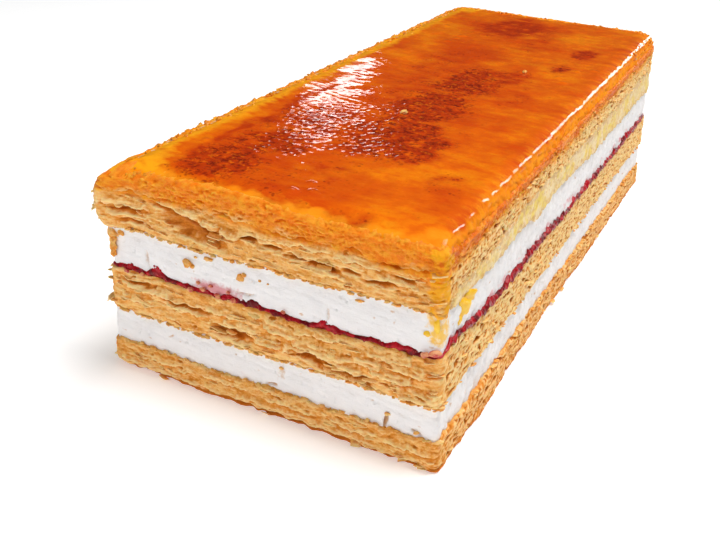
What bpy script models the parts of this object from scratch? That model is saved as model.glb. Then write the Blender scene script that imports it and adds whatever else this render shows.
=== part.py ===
"""Puff pastry bar: three flaky pastry layers, two of whipped cream, jam, custard and a yolk glaze.

Metres, +Z up. The bar stands on z = 0 with its length along Y. Every layer runs right through the
bar. Each is a solid lofted through closed rings that share one rounded plan outline, so that
neighbours follow each other with a thin gap between them.
"""

import math

import bmesh
import bpy
from mathutils import Vector, noise

MM = 0.001

# Overall size of the bar, measured at the foot.
LENGTH = 300 * MM
WIDTH = 125.4 * MM
HEIGHT = 83 * MM
CORNER_RADIUS = 6 * MM

# The long sides close in towards the top, and the whole bar leans a little to its left.
TAPER = 0.048
DRIFT = -1.5 * MM

# Plan outline: how many steps each side and each corner is cut into.
STEPS_LONG = 38
STEPS_SHORT = 15
STEPS_CORNER = 3

# Every layer is flat inside this inset from the outline and waves between it and the edge.
FLAT_INSET = 9 * MM
GAP = 0.3 * MM
EDGE_ROUNDING = 0.25 * MM

# Heights of the layer boundaries at the middle of the bar, and what they gain towards the back.
PASTRY_BOTTOM_TOP = 10.7 * MM
CREAM_LOWER_TOP = 23.8 * MM
PASTRY_MIDDLE_TOP = 39.4 * MM
PASTRY_MIDDLE_RISE = -0.4 * MM
JAM_THICKNESS = 1.9 * MM
CREAM_UPPER_TOP = 54.3 * MM
CREAM_UPPER_RISE = -0.2 * MM
CUSTARD_THICKNESS = 8.6 * MM
CUSTARD_RISE = 2.2 * MM
CUSTARD_FRONT_THICKNESS = 4.8 * MM
PASTRY_TOP_TOP = 76.4 * MM
GLAZE_TOP = 80.6 * MM
TOP_RISE = 2.5 * MM

# How far the glaze hangs below its own bed at each edge.
GLAZE_HANG_FRONT = 5.4 * MM
GLAZE_HANG_SIDE = 4.2 * MM
GLAZE_HANG_BACK = 3.8 * MM
FRONT_SLOPE_LEFT = 0.8 * MM
FRONT_SLOPE_RIGHT = 2.8 * MM

# The hollow under the top pastry's front ledge.
HOLLOW_X = -21 * MM
HOLLOW_HALF_WIDTH = 17 * MM
HOLLOW_Z = 61.5 * MM
HOLLOW_HALF_HEIGHT = 4.2 * MM
HOLLOW_DEPTH = 4.5 * MM
LEDGE_RISE = 5.2 * MM
LEDGE_REACH = 1.6 * MM

# The top of the bar stands out over its front left corner.
FLARE_REACH = 3.6 * MM
FLARE_LENGTH = 45 * MM
FLARE_FOOT = 48 * MM
FLARE_HEAD = 62 * MM

COUNT = 2 * (STEPS_LONG + STEPS_SHORT) + 4 * STEPS_CORNER


# ---------------------------------------------------------------- plan outline

def plan(index, outset):
    """Plan point number index of the rounded outline, moved outwards by outset."""
    radius = CORNER_RADIUS + outset * 4 / 9
    half_x = WIDTH / 2 + outset
    half_y = LENGTH / 2 + outset
    straight_x = half_x - radius
    straight_y = half_y - radius
    quarter = STEPS_SHORT + STEPS_LONG + 2 * STEPS_CORNER
    turn = index // quarter % 2
    step = index % quarter
    if step < STEPS_SHORT:
        x = straight_x * (2 * step / STEPS_SHORT - 1)
        y = -half_y
    elif step < STEPS_SHORT + STEPS_CORNER:
        angle = (step - STEPS_SHORT) / STEPS_CORNER * math.pi / 2
        x = straight_x + radius * math.sin(angle)
        y = -straight_y - radius * math.cos(angle)
    elif step < STEPS_SHORT + STEPS_CORNER + STEPS_LONG:
        run = (step - STEPS_SHORT - STEPS_CORNER) / STEPS_LONG
        x = half_x
        y = straight_y * (2 * run - 1)
    else:
        angle = (step - STEPS_SHORT - STEPS_CORNER - STEPS_LONG) / STEPS_CORNER * math.pi / 2
        x = straight_x + radius * math.cos(angle)
        y = straight_y + radius * math.sin(angle)
    return (-x, -y) if turn else (x, y)


def place(index, outset, z):
    """Point in space at a rim index, an outset and a height, with the bar's taper and lean."""
    x, y = plan(index, outset)
    lift = z / HEIGHT
    return Vector((x * (1 - TAPER * lift) + DRIFT * lift, y, z))


def ring(outset, height):
    """One closed ring of points; outset and height are numbers or functions of the rim index."""
    points = []
    for index in range(COUNT):
        out = outset(index) if callable(outset) else outset
        z = height(index) if callable(height) else height
        points.append(place(index, out, z))
    return points


def ease(value, low, high):
    """Smooth step from 0 at low to 1 at high."""
    t = min(max((value - low) / (high - low), 0.0), 1.0)
    return t * t * (3 - 2 * t)


def bump(value, centre, half_width):
    """Smooth hump: 1 at the centre, 0 beyond the half width."""
    return 1 - ease(abs(value - centre), 0, half_width)


def frontness(index):
    """1 along the front end, 0 elsewhere."""
    return ease(-plan(index, 0)[1], LENGTH / 2 - 9 * MM, LENGTH / 2 - 1 * MM)


def backness(index):
    """1 along the back end, 0 elsewhere."""
    return ease(plan(index, 0)[1], LENGTH / 2 - 9 * MM, LENGTH / 2 - 1 * MM)


def flare(index, z):
    """How far the left side stands out near the front, growing with height."""
    x, y = plan(index, 0)
    left = ease(-x, WIDTH / 2 - 12 * MM, WIDTH / 2 - 1 * MM)
    near = 1 - ease(y + LENGTH / 2, 0, FLARE_LENGTH)
    return FLARE_REACH * left * near * ease(z, FLARE_FOOT, FLARE_HEAD)


def ripple(index, scale, seed, level=0.0):
    """Smooth noise along the rim, about -1 to 1, with the given wavelength."""
    x, y = plan(index, 0)
    return 1.6 * noise.noise(Vector((x / scale, y / scale, seed + level)))


# ---------------------------------------------------------------- layer boundaries

def boundary(index, outset, middle, rise, edge):
    """Height of a boundary: flat and tilted inside, moved by edge where it meets the outline."""
    flat_y = plan(index, -FLAT_INSET)[1]
    reach = (outset + FLAT_INSET) / FLAT_INSET
    return middle + rise * flat_y / (LENGTH / 2) + edge * reach


def pastry_bottom_top(index, outset):
    wave = 0.6 * MM * ripple(index, 30 * MM, 1.3)
    return boundary(index, outset, PASTRY_BOTTOM_TOP, 0, wave)


def cream_lower_top(index, outset):
    wave = 0.7 * MM * ripple(index, 34 * MM, 5.7)
    return boundary(index, outset, CREAM_LOWER_TOP, 0, wave)


def pastry_middle_top(index, outset):
    wave = 1.1 * MM * ripple(index, 32 * MM, 9.1)
    wave += 0.8 * MM * frontness(index)
    return boundary(index, outset, PASTRY_MIDDLE_TOP, PASTRY_MIDDLE_RISE, wave)


def jam_top(index, outset):
    reach = (outset + FLAT_INSET) / FLAT_INSET
    lump = 0.5 * MM * ripple(index, 16 * MM, 13.9) * reach
    return pastry_middle_top(index, outset) + JAM_THICKNESS + lump


def cream_upper_top(index, outset):
    wave = 1.2 * MM * ripple(index, 45 * MM, 17.2)
    wave += 0.4 * MM * frontness(index)
    return boundary(index, outset, CREAM_UPPER_TOP, CREAM_UPPER_RISE, wave)


def custard_top(index, outset):
    """The custard fades out before the front end, where pastry lies on the cream."""
    reach = min((outset + FLAT_INSET) / FLAT_INSET, 1)
    flat_y = plan(index, -FLAT_INSET)[1]
    inside = CUSTARD_THICKNESS + CUSTARD_RISE * flat_y / (LENGTH / 2)
    thin = (inside - CUSTARD_FRONT_THICKNESS) * (1 - ease(flat_y, -LENGTH * 0.47, -LENGTH * 0.12))
    at_edge = inside - thin + 0.9 * MM * ripple(index, 28 * MM, 21.4)
    at_edge *= 1 - frontness(index)
    return cream_upper_top(index, outset) + inside + (at_edge - inside) * reach


def glaze_bed(index, outset):
    """Top of the upper pastry, which the glaze lies on and hangs over."""
    hang = GLAZE_HANG_SIDE
    hang += (GLAZE_HANG_FRONT - GLAZE_HANG_SIDE) * frontness(index)
    hang += (GLAZE_HANG_BACK - GLAZE_HANG_SIDE) * backness(index)
    hang -= 1.1 * MM * ripple(index, 22 * MM, 25.8)
    return boundary(index, outset, PASTRY_TOP_TOP, TOP_RISE, -hang)


def glaze_top(index, drop):
    """Height of the glaze's upper surface near its edge, a given drop below its flat top.

    The front shoulder slopes away, most of all towards its right.
    """
    flat_x, flat_y = plan(index, -FLAT_INSET)
    slope = FRONT_SLOPE_LEFT + (FRONT_SLOPE_RIGHT - FRONT_SLOPE_LEFT) * ease(flat_x, 0, 28 * MM)
    front = slope * frontness(index) * min(drop / (2 * MM), 1)
    return GLAZE_TOP + TOP_RISE * flat_y / (LENGTH / 2) - drop - front


# ---------------------------------------------------------------- building a layer

def grow(bm, loop, points):
    """Extrude a closed loop of vertices to new points; the new loop comes back in order."""
    edges = [bm.edges.get((a, b)) for a, b in zip(loop, loop[1:] + loop[:1])]
    made = bmesh.ops.extrude_edge_only(bm, edges=edges)["geom"]
    fresh = {item for item in made if isinstance(item, bmesh.types.BMVert)}
    grown = []
    for vert, point in zip(loop, points):
        twin = next(e.other_vert(vert) for e in vert.link_edges if e.other_vert(vert) in fresh)
        twin.co = point
        grown.append(twin)
    return grown


def loft(name, rings, material, smooth):
    """Solid through a stack of rings, closed by a flat face at each end."""
    bm = bmesh.new()
    loop = [bm.verts.new(point) for point in rings[0]]
    bm.faces.new(loop)
    for points in rings[1:]:
        loop = grow(bm, loop, points)
    bm.faces.new(loop)
    bmesh.ops.recalc_face_normals(bm, faces=bm.faces)
    mesh = bpy.data.meshes.new(name)
    bm.to_mesh(mesh)
    bm.free()
    if smooth:
        mesh.shade_smooth()
        mesh.set_sharp_from_angle(angle=math.radians(50))
    mesh.materials.append(material)
    layer = bpy.data.objects.new(name, mesh)
    bpy.context.collection.objects.link(layer)
    return layer


def layer_rings(floor, roof, rows, face):
    """Rings of a layer: flat middle, out along its floor, up its side, back along its roof.

    floor and roof are boundary functions, or None for the ground; face(index, row, z) is how far
    the side stands out from the outline at a row.
    """
    inner = -FLAT_INSET

    def side(row):
        share = row / rows

        def height(index):
            # The side's height is read where it stands at that row, first guess at the outline.
            low = floor(index, 0) + GAP / 2 + EDGE_ROUNDING if floor else 0
            high = roof(index, 0) - GAP / 2 - EDGE_ROUNDING
            out = face(index, row, low + (high - low) * share)
            low = floor(index, out) + GAP / 2 + EDGE_ROUNDING if floor else 0
            high = roof(index, out) - GAP / 2 - EDGE_ROUNDING
            return low + (high - low) * share

        def outset(index):
            low = floor(index, 0) if floor else 0
            return face(index, row, low + (roof(index, 0) - low) * share)

        return ring(outset, height)

    rings = []
    if floor:
        rings.append(ring(inner, lambda index: floor(index, inner) + GAP / 2))
    for row in range(rows + 1):
        rings.append(side(row))
    rings.append(ring(inner, lambda index: roof(index, inner) - GAP / 2))
    return rings


def flaky(seed, depth):
    """Side of a puff pastry layer: sheets that stand out or sink in, with crags along them."""
    def face(index, row, z):
        sheet = ripple(index, 24 * MM, seed, row * 1.3)
        crag = ripple(index, 8 * MM, seed + 40, row * 2.1)
        return depth * (0.75 * sheet + 0.45 * crag) + flare(index, z)
    return face


def creamy(seed, recess, side_recess):
    """Side of a cream layer: smooth, with slow waves, set back by recess at the short ends."""
    def face(index, row, z):
        back = side_recess + (recess - side_recess) * max(frontness(index), backness(index))
        return -back + 0.4 * MM * ripple(index, 20 * MM, seed, row * 0.6) + flare(index, z)
    return face


def top_pastry_face(index, row, z):
    """Flaky side with the hollow and the ledge above it on the front end."""
    x = plan(index, 0)[0]
    across = bump(x, HOLLOW_X, HOLLOW_HALF_WIDTH) * frontness(index)
    hollow = bump(z, HOLLOW_Z, HOLLOW_HALF_HEIGHT) * HOLLOW_DEPTH
    ledge = bump(z, HOLLOW_Z + LEDGE_RISE, HOLLOW_HALF_HEIGHT) * LEDGE_REACH
    return flaky(31.5, 1.3 * MM)(index, row, z) + across * (ledge - hollow)


def custard_face(index, row, z):
    """Nearly flush with the long sides and the back, ending well behind the front end."""
    wave = 0.5 * MM * ripple(index, 15 * MM, 36.6, row * 0.8)
    return (-0.6 * MM + wave) * (1 - frontness(index)) - 5.0 * MM * frontness(index)


# ---------------------------------------------------------------- materials

def material(name, colour, roughness):
    """Plain food material with its own colour and gloss."""
    made = bpy.data.materials.new(name)
    made.use_nodes = True
    shader = made.node_tree.nodes["Principled BSDF"]
    shader.inputs["Base Color"].default_value = (*colour, 1)
    shader.inputs["Roughness"].default_value = roughness
    shader.inputs["Metallic"].default_value = 0
    return made


# ---------------------------------------------------------------- the layers

def pastry_bottom():
    rings = layer_rings(None, pastry_bottom_top, 5, flaky(2.2, 1.2 * MM))
    paint = material("bottom pastry crust", (0.60, 0.33, 0.12), 0.8)
    return loft("pastry_bottom", rings, paint, smooth=False)


def cream_lower():
    rings = layer_rings(pastry_bottom_top, cream_lower_top, 3, creamy(6.1, 0.7 * MM, 2.2 * MM))
    return loft("cream_lower", rings, material("lower cream", (0.85, 0.83, 0.82), 0.55), smooth=True)


def pastry_middle():
    rings = layer_rings(cream_lower_top, pastry_middle_top, 6, flaky(10.4, 1.3 * MM))
    paint = material("middle pastry crust", (0.64, 0.36, 0.13), 0.8)
    return loft("pastry_middle", rings, paint, smooth=False)


def jam():
    rings = layer_rings(pastry_middle_top, jam_top, 1, creamy(14.8, 0.4 * MM, 0.6 * MM))
    return loft("jam", rings, material("red jam", (0.32, 0.008, 0.02), 0.25), smooth=True)


def cream_upper():
    rings = layer_rings(jam_top, cream_upper_top, 3, creamy(18.3, 0.6 * MM, 0.9 * MM))
    return loft("cream_upper", rings, material("upper cream", (0.86, 0.84, 0.83), 0.55), smooth=True)


def custard():
    rings = layer_rings(cream_upper_top, custard_top, 2, custard_face)
    return loft("custard", rings, material("yolk custard", (0.83, 0.60, 0.24), 0.6), smooth=True)


def pastry_top():
    rings = layer_rings(custard_top, glaze_bed, 8, top_pastry_face)
    paint = material("top pastry crust", (0.58, 0.29, 0.09), 0.8)
    return loft("pastry_top", rings, paint, smooth=False)


def glaze():
    """Burnt yolk glaze: a cap with a rounded shoulder and a lip that hangs over the pastry."""
    inner = -FLAT_INSET

    def lip_out(index):
        return 0.5 * MM + flare(index, GLAZE_TOP)

    def lip_low(index):
        return glaze_bed(index, lip_out(index)) + GAP / 2 + EDGE_ROUNDING

    def lip_bulge(index):
        return lip_out(index) + 0.5 * MM + 0.5 * MM * ripple(index, 12 * MM, 44.2)

    def lip_middle(index):
        return 0.45 * lip_low(index) + 0.55 * glaze_top(index, 4.2 * MM)

    rings = [
        ring(inner, lambda index: glaze_bed(index, inner) + GAP / 2),
        ring(lip_out, lip_low),
        ring(lip_bulge, lip_middle),
        ring(lambda index: lip_out(index) - 0.2 * MM, lambda index: glaze_top(index, 3.4 * MM)),
        ring(-1.7 * MM, lambda index: glaze_top(index, 1.5 * MM)),
        ring(-4.2 * MM, lambda index: glaze_top(index, 0.4 * MM)),
        ring(inner, lambda index: glaze_top(index, 0)),
    ]
    return loft("glaze", rings, material("burnt yolk glaze", (0.78, 0.22, 0.01), 0.15), smooth=True)


def centre(layers):
    """Move the layers together so that the bar's box is centred on the origin."""
    corners = [vert.co for layer in layers for vert in layer.data.vertices]
    middle_x = (min(c.x for c in corners) + max(c.x for c in corners)) / 2
    middle_y = (min(c.y for c in corners) + max(c.y for c in corners)) / 2
    shift = Vector((-middle_x, -middle_y, 0))
    for layer in layers:
        for vert in layer.data.vertices:
            vert.co += shift


def main():
    for old in list(bpy.data.objects):
        bpy.data.objects.remove(old, do_unlink=True)
    layers = [
        pastry_bottom(),
        cream_lower(),
        pastry_middle(),
        jam(),
        cream_upper(),
        custard(),
        pastry_top(),
        glaze(),
    ]
    centre(layers)


main()
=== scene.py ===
"""Puff pastry bar: the looks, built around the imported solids. Metres, +Z up, front end at -Y."""

import math

import bpy
import numpy as np
from mathutils import Matrix, Quaternion, Vector, noise


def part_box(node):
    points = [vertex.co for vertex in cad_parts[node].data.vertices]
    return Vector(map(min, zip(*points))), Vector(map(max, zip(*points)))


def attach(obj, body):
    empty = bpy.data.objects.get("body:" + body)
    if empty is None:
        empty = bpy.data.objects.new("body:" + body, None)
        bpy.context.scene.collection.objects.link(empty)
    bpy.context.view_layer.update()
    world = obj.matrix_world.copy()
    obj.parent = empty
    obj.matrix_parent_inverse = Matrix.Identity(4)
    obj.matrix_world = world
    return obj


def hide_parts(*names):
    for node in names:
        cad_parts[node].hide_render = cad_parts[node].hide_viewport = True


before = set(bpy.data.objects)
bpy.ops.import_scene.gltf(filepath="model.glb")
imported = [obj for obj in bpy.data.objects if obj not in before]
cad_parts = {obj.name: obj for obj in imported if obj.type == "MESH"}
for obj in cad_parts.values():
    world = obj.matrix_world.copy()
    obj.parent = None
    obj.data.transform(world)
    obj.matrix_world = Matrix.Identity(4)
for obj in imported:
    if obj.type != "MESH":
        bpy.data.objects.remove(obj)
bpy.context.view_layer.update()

MM = 0.001

# The bar's plan outline at its foot, and how its sides close in and lean towards the top.
LENGTH = 300 * MM
WIDTH = 125.4 * MM
HEIGHT = 83 * MM
CORNER_RADIUS = 2.5 * MM
TAPER = 0.048
DRIFT = -1.5 * MM
FLAT_INSET = 9 * MM

# The middle of the outline, read from the lower cream, whose sides are the straightest.
CREAM_LOW, CREAM_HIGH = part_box("cream_lower")
SHIFT_X = (CREAM_LOW[0] + CREAM_HIGH[0]) / 2 + 0.2 * MM
SHIFT_Y = (CREAM_LOW[1] + CREAM_HIGH[1]) / 2

# Heights of the boundaries between layers at the middle, and what they gain towards the back.
PASTRY_BOTTOM_TOP = 10.7 * MM
CREAM_LOWER_TOP = 23.8 * MM
PASTRY_MIDDLE_TOP = 39.4 * MM
PASTRY_MIDDLE_RISE = -0.4 * MM
JAM_THICKNESS = 1.9 * MM
CREAM_UPPER_TOP = 54.3 * MM
CREAM_UPPER_RISE = -0.2 * MM
CUSTARD_THICKNESS = 8.6 * MM
CUSTARD_RISE = 2.2 * MM
CUSTARD_FRONT_THICKNESS = 4.8 * MM
PASTRY_TOP_TOP = 76.4 * MM
GLAZE_TOP = 80.6 * MM
TOP_RISE = 2.5 * MM
GLAZE_HANG_FRONT = 5.4 * MM
GLAZE_HANG_SIDE = 4.2 * MM
GLAZE_HANG_BACK = 3.8 * MM
FLARE_REACH = 3.6 * MM
FLARE_LENGTH = 45 * MM
FLARE_FOOT = 48 * MM
FLARE_HEAD = 62 * MM

# Fineness of the meshes: columns along the front, right, back and left, and round each corner.
COLUMNS = (430, 500, 220, 370)
COLUMNS_CORNER = 8


# ---------------------------------------------------------------- plan outline

def outline_turns():
    """Where round the outline each column stands, 0 to 4: one unit for each side and corner."""
    turns = []
    for side, count in enumerate(COLUMNS):
        turns += [side + 0.9 * step / count for step in range(count)]
        turns += [side + 0.9 + 0.1 * step / COLUMNS_CORNER for step in range(COLUMNS_CORNER)]
    return np.array(turns)


TURNS = outline_turns()


def radius_at(outset):
    """Radius of the outline's corners, which grows with the outset."""
    return np.clip(CORNER_RADIUS + outset * 4 / 9, 0.1 * MM, None)


def plan(turns, outset):
    """Plan points at places round the outline, moved outwards by outset; both may be arrays."""
    turns, outset = np.broadcast_arrays(turns, outset)
    half_x = WIDTH / 2 + outset
    half_y = LENGTH / 2 + outset
    radius = radius_at(outset)
    side = np.floor(turns).astype(int) % 4
    run = np.minimum((turns - np.floor(turns)) / 0.9, 1)
    bend = np.clip((turns - np.floor(turns) - 0.9) / 0.1, 0, 1) * math.pi / 2
    across = np.where(side % 2 == 0, half_x, half_y) - radius
    away = np.where(side % 2 == 0, half_y, half_x) - radius
    along = across * (2 * run - 1) + radius * np.sin(bend)
    out = away + radius * np.cos(bend)
    x = np.choose(side, (along, out, -along, -out))
    y = np.choose(side, (-out, along, out, -along))
    return x, y


def place(turns, outset, z):
    """Points in space for places, outsets and heights, with the bar's taper and lean."""
    x, y = plan(turns, outset)
    lift = z / HEIGHT
    return np.stack([x * (1 - TAPER * lift) + DRIFT * lift + SHIFT_X, y + SHIFT_Y, z + 0 * x], -1)


def ease(value, low, high):
    """Smooth step from 0 at low to 1 at high."""
    t = np.clip((value - low) / (high - low), 0, 1)
    return t * t * (3 - 2 * t)


def bump(value, centre, half_width):
    """Smooth hump: 1 at the centre, 0 beyond the half width."""
    return 1 - ease(np.abs(value - centre), 0, half_width)


def noisy(x, y, z, scale, seed):
    """Smooth noise, about -1 to 1, at points given by coordinates; scale is one length or three."""
    scale = np.broadcast_to(scale, 3)
    x, y, z = np.broadcast_arrays(x, y, z)
    points = np.stack([x / scale[0], y / scale[1], z / scale[2] + seed], -1).reshape(-1, 3)
    return np.array([noise.noise(p) for p in points.tolist()]).reshape(x.shape) * 1.6


def close_to(value, edge):
    """1 at an edge of the outline, fading to 0 at 9 mm inside it."""
    return ease(value, edge - 9 * MM, edge - 1 * MM)


# The rim's points, and how much each of them belongs to each side of the bar.
RIM_X, RIM_Y = plan(TURNS, 0)
FRONTNESS = close_to(-RIM_Y, LENGTH / 2)
BACKNESS = close_to(RIM_Y, LENGTH / 2)
RIGHTNESS = close_to(RIM_X, WIDTH / 2)
LEFTNESS = close_to(-RIM_X, WIDTH / 2)
ENDNESS = FRONTNESS + BACKNESS
SIDENESS = 1 - np.minimum(ENDNESS, 1)
FLAT_Y = plan(TURNS, -FLAT_INSET)[1]


def ripple(size, seed):
    """Smooth noise along the rim; size of its bumps in mm."""
    return noisy(RIM_X, RIM_Y, 0, (size * MM, size * MM, 1), seed)


def along_rim(turn, values):
    """Values given round the rim, read at any places on the outline."""
    return np.interp(turn, TURNS, values, period=4)


# ---------------------------------------------------------------- layer boundaries

def boundary(outset, middle, rise, edge):
    """Height of a boundary: flat and tilted inside, moved by edge where it meets the outline."""
    reach = (outset + FLAT_INSET) / FLAT_INSET
    return middle + rise * FLAT_Y / (LENGTH / 2) + edge * reach


# How far each boundary rises and sinks round the rim.
PASTRY_BOTTOM_WAVE = 0.6 * MM * ripple(30, 1.3)
CREAM_LOWER_WAVE = 0.7 * MM * ripple(34, 5.7)
PASTRY_MIDDLE_WAVE = 0.8 * MM * ripple(32, 9.1) - 0.5 * MM * FRONTNESS
PASTRY_MIDDLE_WAVE = PASTRY_MIDDLE_WAVE + RIGHTNESS * MM * (3.0 * bump(RIM_Y, -138 * MM, 26 * MM) - 0.8)
JAM_LUMPS = 0.5 * MM * ripple(16, 13.9) + 0.4 * MM * ripple(5, 14.9)
JAM_LUMPS = JAM_LUMPS - 0.6 * MM * FRONTNESS - 0.8 * MM * RIGHTNESS
JAM_LUMPS = np.maximum(JAM_LUMPS, 0.4 * MM - JAM_THICKNESS)
CREAM_UPPER_WAVE = 1.2 * MM * ripple(45, 17.2) + 0.4 * MM * FRONTNESS
CUSTARD_WAVE = 0.9 * MM * ripple(28, 21.4)
GLAZE_WAVE = 1.1 * MM * ripple(22, 25.8)


def pastry_bottom_top(outset):
    """Top of the bottom pastry."""
    return boundary(outset, PASTRY_BOTTOM_TOP, 0, PASTRY_BOTTOM_WAVE)


def cream_lower_top(outset):
    """Top of the lower cream."""
    return boundary(outset, CREAM_LOWER_TOP, 0, CREAM_LOWER_WAVE)


def pastry_middle_top(outset):
    """Top of the middle pastry."""
    return boundary(outset, PASTRY_MIDDLE_TOP, PASTRY_MIDDLE_RISE, PASTRY_MIDDLE_WAVE)


def jam_top(outset):
    """Top of the jam, which is thin and lumpy."""
    reach = (outset + FLAT_INSET) / FLAT_INSET
    return pastry_middle_top(outset) + JAM_THICKNESS + JAM_LUMPS * reach


def cream_upper_top(outset):
    """Top of the upper cream."""
    return boundary(outset, CREAM_UPPER_TOP, CREAM_UPPER_RISE, CREAM_UPPER_WAVE)


def custard_top(outset):
    """The custard fades out before the front end, where pastry lies on the cream."""
    reach = np.minimum((outset + FLAT_INSET) / FLAT_INSET, 1)
    inside = CUSTARD_THICKNESS + CUSTARD_RISE * FLAT_Y / (LENGTH / 2)
    thin = (inside - CUSTARD_FRONT_THICKNESS) * (1 - ease(FLAT_Y, -LENGTH * 0.47, -LENGTH * 0.12))
    at_edge = (inside - thin + CUSTARD_WAVE) * (1 - FRONTNESS)
    return cream_upper_top(outset) + inside + (at_edge - inside) * reach


def glaze_bed(outset):
    """Top of the upper pastry, which the glaze lies on and hangs over."""
    hang = GLAZE_HANG_SIDE - GLAZE_WAVE
    hang = hang + (GLAZE_HANG_FRONT - GLAZE_HANG_SIDE) * FRONTNESS
    hang = hang + (GLAZE_HANG_BACK - GLAZE_HANG_SIDE) * BACKNESS
    return boundary(outset, PASTRY_TOP_TOP, TOP_RISE, -hang)


def flare(z):
    """How far the left side stands out near the front, growing with height."""
    left = ease(-RIM_X, WIDTH / 2 - 12 * MM, WIDTH / 2 - 1 * MM)
    near = 1 - ease(RIM_Y + LENGTH / 2, 0, FLARE_LENGTH)
    out = ease(z, FLARE_FOOT, FLARE_HEAD) * (1 - 0.55 * ease(z, 67 * MM, 74 * MM))
    return FLARE_REACH * left * near * out


# ---------------------------------------------------------------- making meshes

def deselect():
    """Start from nothing selected, as a new shape acts on all that is."""
    bpy.ops.object.select_all(action="DESELECT")


def shell_of(name, points, numbers):
    """Closed shell from a grid of points: doubles joined, open ends capped, faces turned out.

    numbers holds one grid of values for each named point attribute that the material reads.
    """
    rows, columns = points.shape[:2]
    deselect()
    bpy.ops.mesh.primitive_grid_add(x_subdivisions=columns - 1, y_subdivisions=rows - 1, size=1)
    shell = bpy.context.object
    shell.name = name
    shell.data.name = name
    shell.data.vertices.foreach_set("co", points.reshape(-1).astype(np.float32))
    for attribute, values in numbers.items():
        layer = shell.data.attributes.new(attribute, "FLOAT", "POINT")
        layer.data.foreach_set("value", values.reshape(-1).astype(np.float32))
    shell.data.update()
    bpy.ops.object.mode_set(mode="EDIT")
    bpy.ops.mesh.select_all(action="SELECT")
    bpy.ops.mesh.remove_doubles(threshold=1e-7)
    bpy.ops.mesh.select_all(action="DESELECT")
    bpy.ops.mesh.select_mode(type="EDGE")
    bpy.ops.mesh.select_non_manifold()
    bpy.ops.mesh.fill_holes(sides=0)
    bpy.ops.mesh.select_mode(type="VERT")
    bpy.ops.mesh.select_all(action="SELECT")
    bpy.ops.mesh.normals_make_consistent(inside=False)
    bpy.ops.object.mode_set(mode="OBJECT")
    return shell


def seam_closed(values):
    """A grid of values with its first column repeated at the end."""
    return np.concatenate([values, values[:, :1]], 1)


def wrap(name, points, numbers):
    """Closed shell from rows of points that run round the bar."""
    closed = {attribute: seam_closed(values) for attribute, values in numbers.items()}
    return shell_of(name, seam_closed(points), closed)


def stack(*rows):
    """Grid from blocks of rows, single rows and plain numbers that fill a row."""
    return np.concatenate([np.broadcast_to(np.atleast_2d(row), (len(np.atleast_2d(row)), len(TURNS)))
                           for row in rows], 0)


def shade(piece, degrees):
    """Smooth shading, with creases sharper than the angle left sharp."""
    deselect()
    piece.select_set(True)
    bpy.context.view_layer.objects.active = piece
    bpy.ops.object.shade_smooth_by_angle(angle=math.radians(degrees))


# ---------------------------------------------------------------- fine noise

def chance(i, j, k, seed):
    """Repeatable random numbers, -1 to 1, one for each whole-number place."""
    mixed = (i * 73856093) ^ (j * 19349663) ^ (k * 83492791) ^ (seed * 15485863 + 977)
    mixed = (mixed ^ (mixed >> 13)) * 1274126177
    mixed = mixed ^ (mixed >> 16)
    return (mixed & 0xFFFF) / 32767.5 - 1


def rough(x, y, z, scale, seed):
    """Gradient noise, about -1 to 1; scale is the size of its bumps along x, y and z."""
    scale = np.broadcast_to(scale, 3)
    parts = [np.asarray(value / size, float) for value, size in zip((x, y, z), scale)]
    parts = list(np.broadcast_arrays(*parts))
    cells = [np.floor(part).astype(np.int64) for part in parts]
    parts = [part - cell for part, cell in zip(parts, cells)]
    fades = [part ** 3 * (part * (part * 6 - 15) + 10) for part in parts]
    total = 0
    for corner in range(8):
        step = [corner & 1, corner >> 1 & 1, corner >> 2 & 1]
        place_now = [cell + one for cell, one in zip(cells, step)]
        weight = 1
        slope = 0
        for axis in range(3):
            weight = weight * (fades[axis] if step[axis] else 1 - fades[axis])
            slope = slope + chance(*place_now, seed * 3 + axis) * (parts[axis] - step[axis])
        total = total + weight * slope
    return total * 1.7


def layered(x, y, z, scale, seed, octaves):
    """Several sizes of noise together, each half the size and strength of the one before."""
    total = 0
    scale = np.array(np.broadcast_to(scale, 3), float)
    for octave in range(octaves):
        total = total + rough(x, y, z, scale / 2 ** octave, seed + octave) / 2 ** octave
    return total


def side_rough(z, size, seed):
    """Gradient noise on the sides; size of its bumps in mm."""
    return rough(RIM_X, RIM_Y, z, np.array(size) * MM, seed)


def side_layered(z, size, seed, octaves):
    """Several sizes of noise on the sides; size of the largest bumps in mm."""
    return layered(RIM_X, RIM_Y, z, np.array(size) * MM, seed, octaves)


def top_rough(x, y, size, seed):
    """Gradient noise on the top; size of its bumps in mm."""
    return rough(x, y, 0, (size[0] * MM, size[1] * MM, 1), seed)


def top_layered(x, y, size, seed, octaves):
    """Several sizes of noise on the top; size of the largest bumps in mm."""
    return layered(x, y, 0, (size[0] * MM, size[1] * MM, 1), seed, octaves)


def dots(x, y, scale, seed):
    """Distance to the nearest of a scatter of points, in units of their spacing."""
    x, y = x / scale, y / scale
    column, row = np.floor(x).astype(np.int64), np.floor(y).astype(np.int64)
    nearest = np.full(x.shape, 9.0)
    for i in (-1, 0, 1):
        for j in (-1, 0, 1):
            away_x = column + i + 0.5 + 0.45 * chance(column + i, row + j, 0, seed) - x
            away_y = row + j + 0.5 + 0.45 * chance(column + i, row + j, 1, seed) - y
            nearest = np.minimum(nearest, np.hypot(away_x, away_y))
    return nearest


def blurred(values, reach):
    """Running average over a grid that closes on itself along its rows."""
    across = sum(np.roll(values, step, 1) for step in range(-reach, reach + 1)) / (2 * reach + 1)
    padded = np.pad(across, ((reach, reach), (0, 0)), mode="edge")
    rows = len(values)
    return sum(padded[step:step + rows] for step in range(2 * reach + 1)) / (2 * reach + 1)


# ---------------------------------------------------------------- relief of the sides

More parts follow.
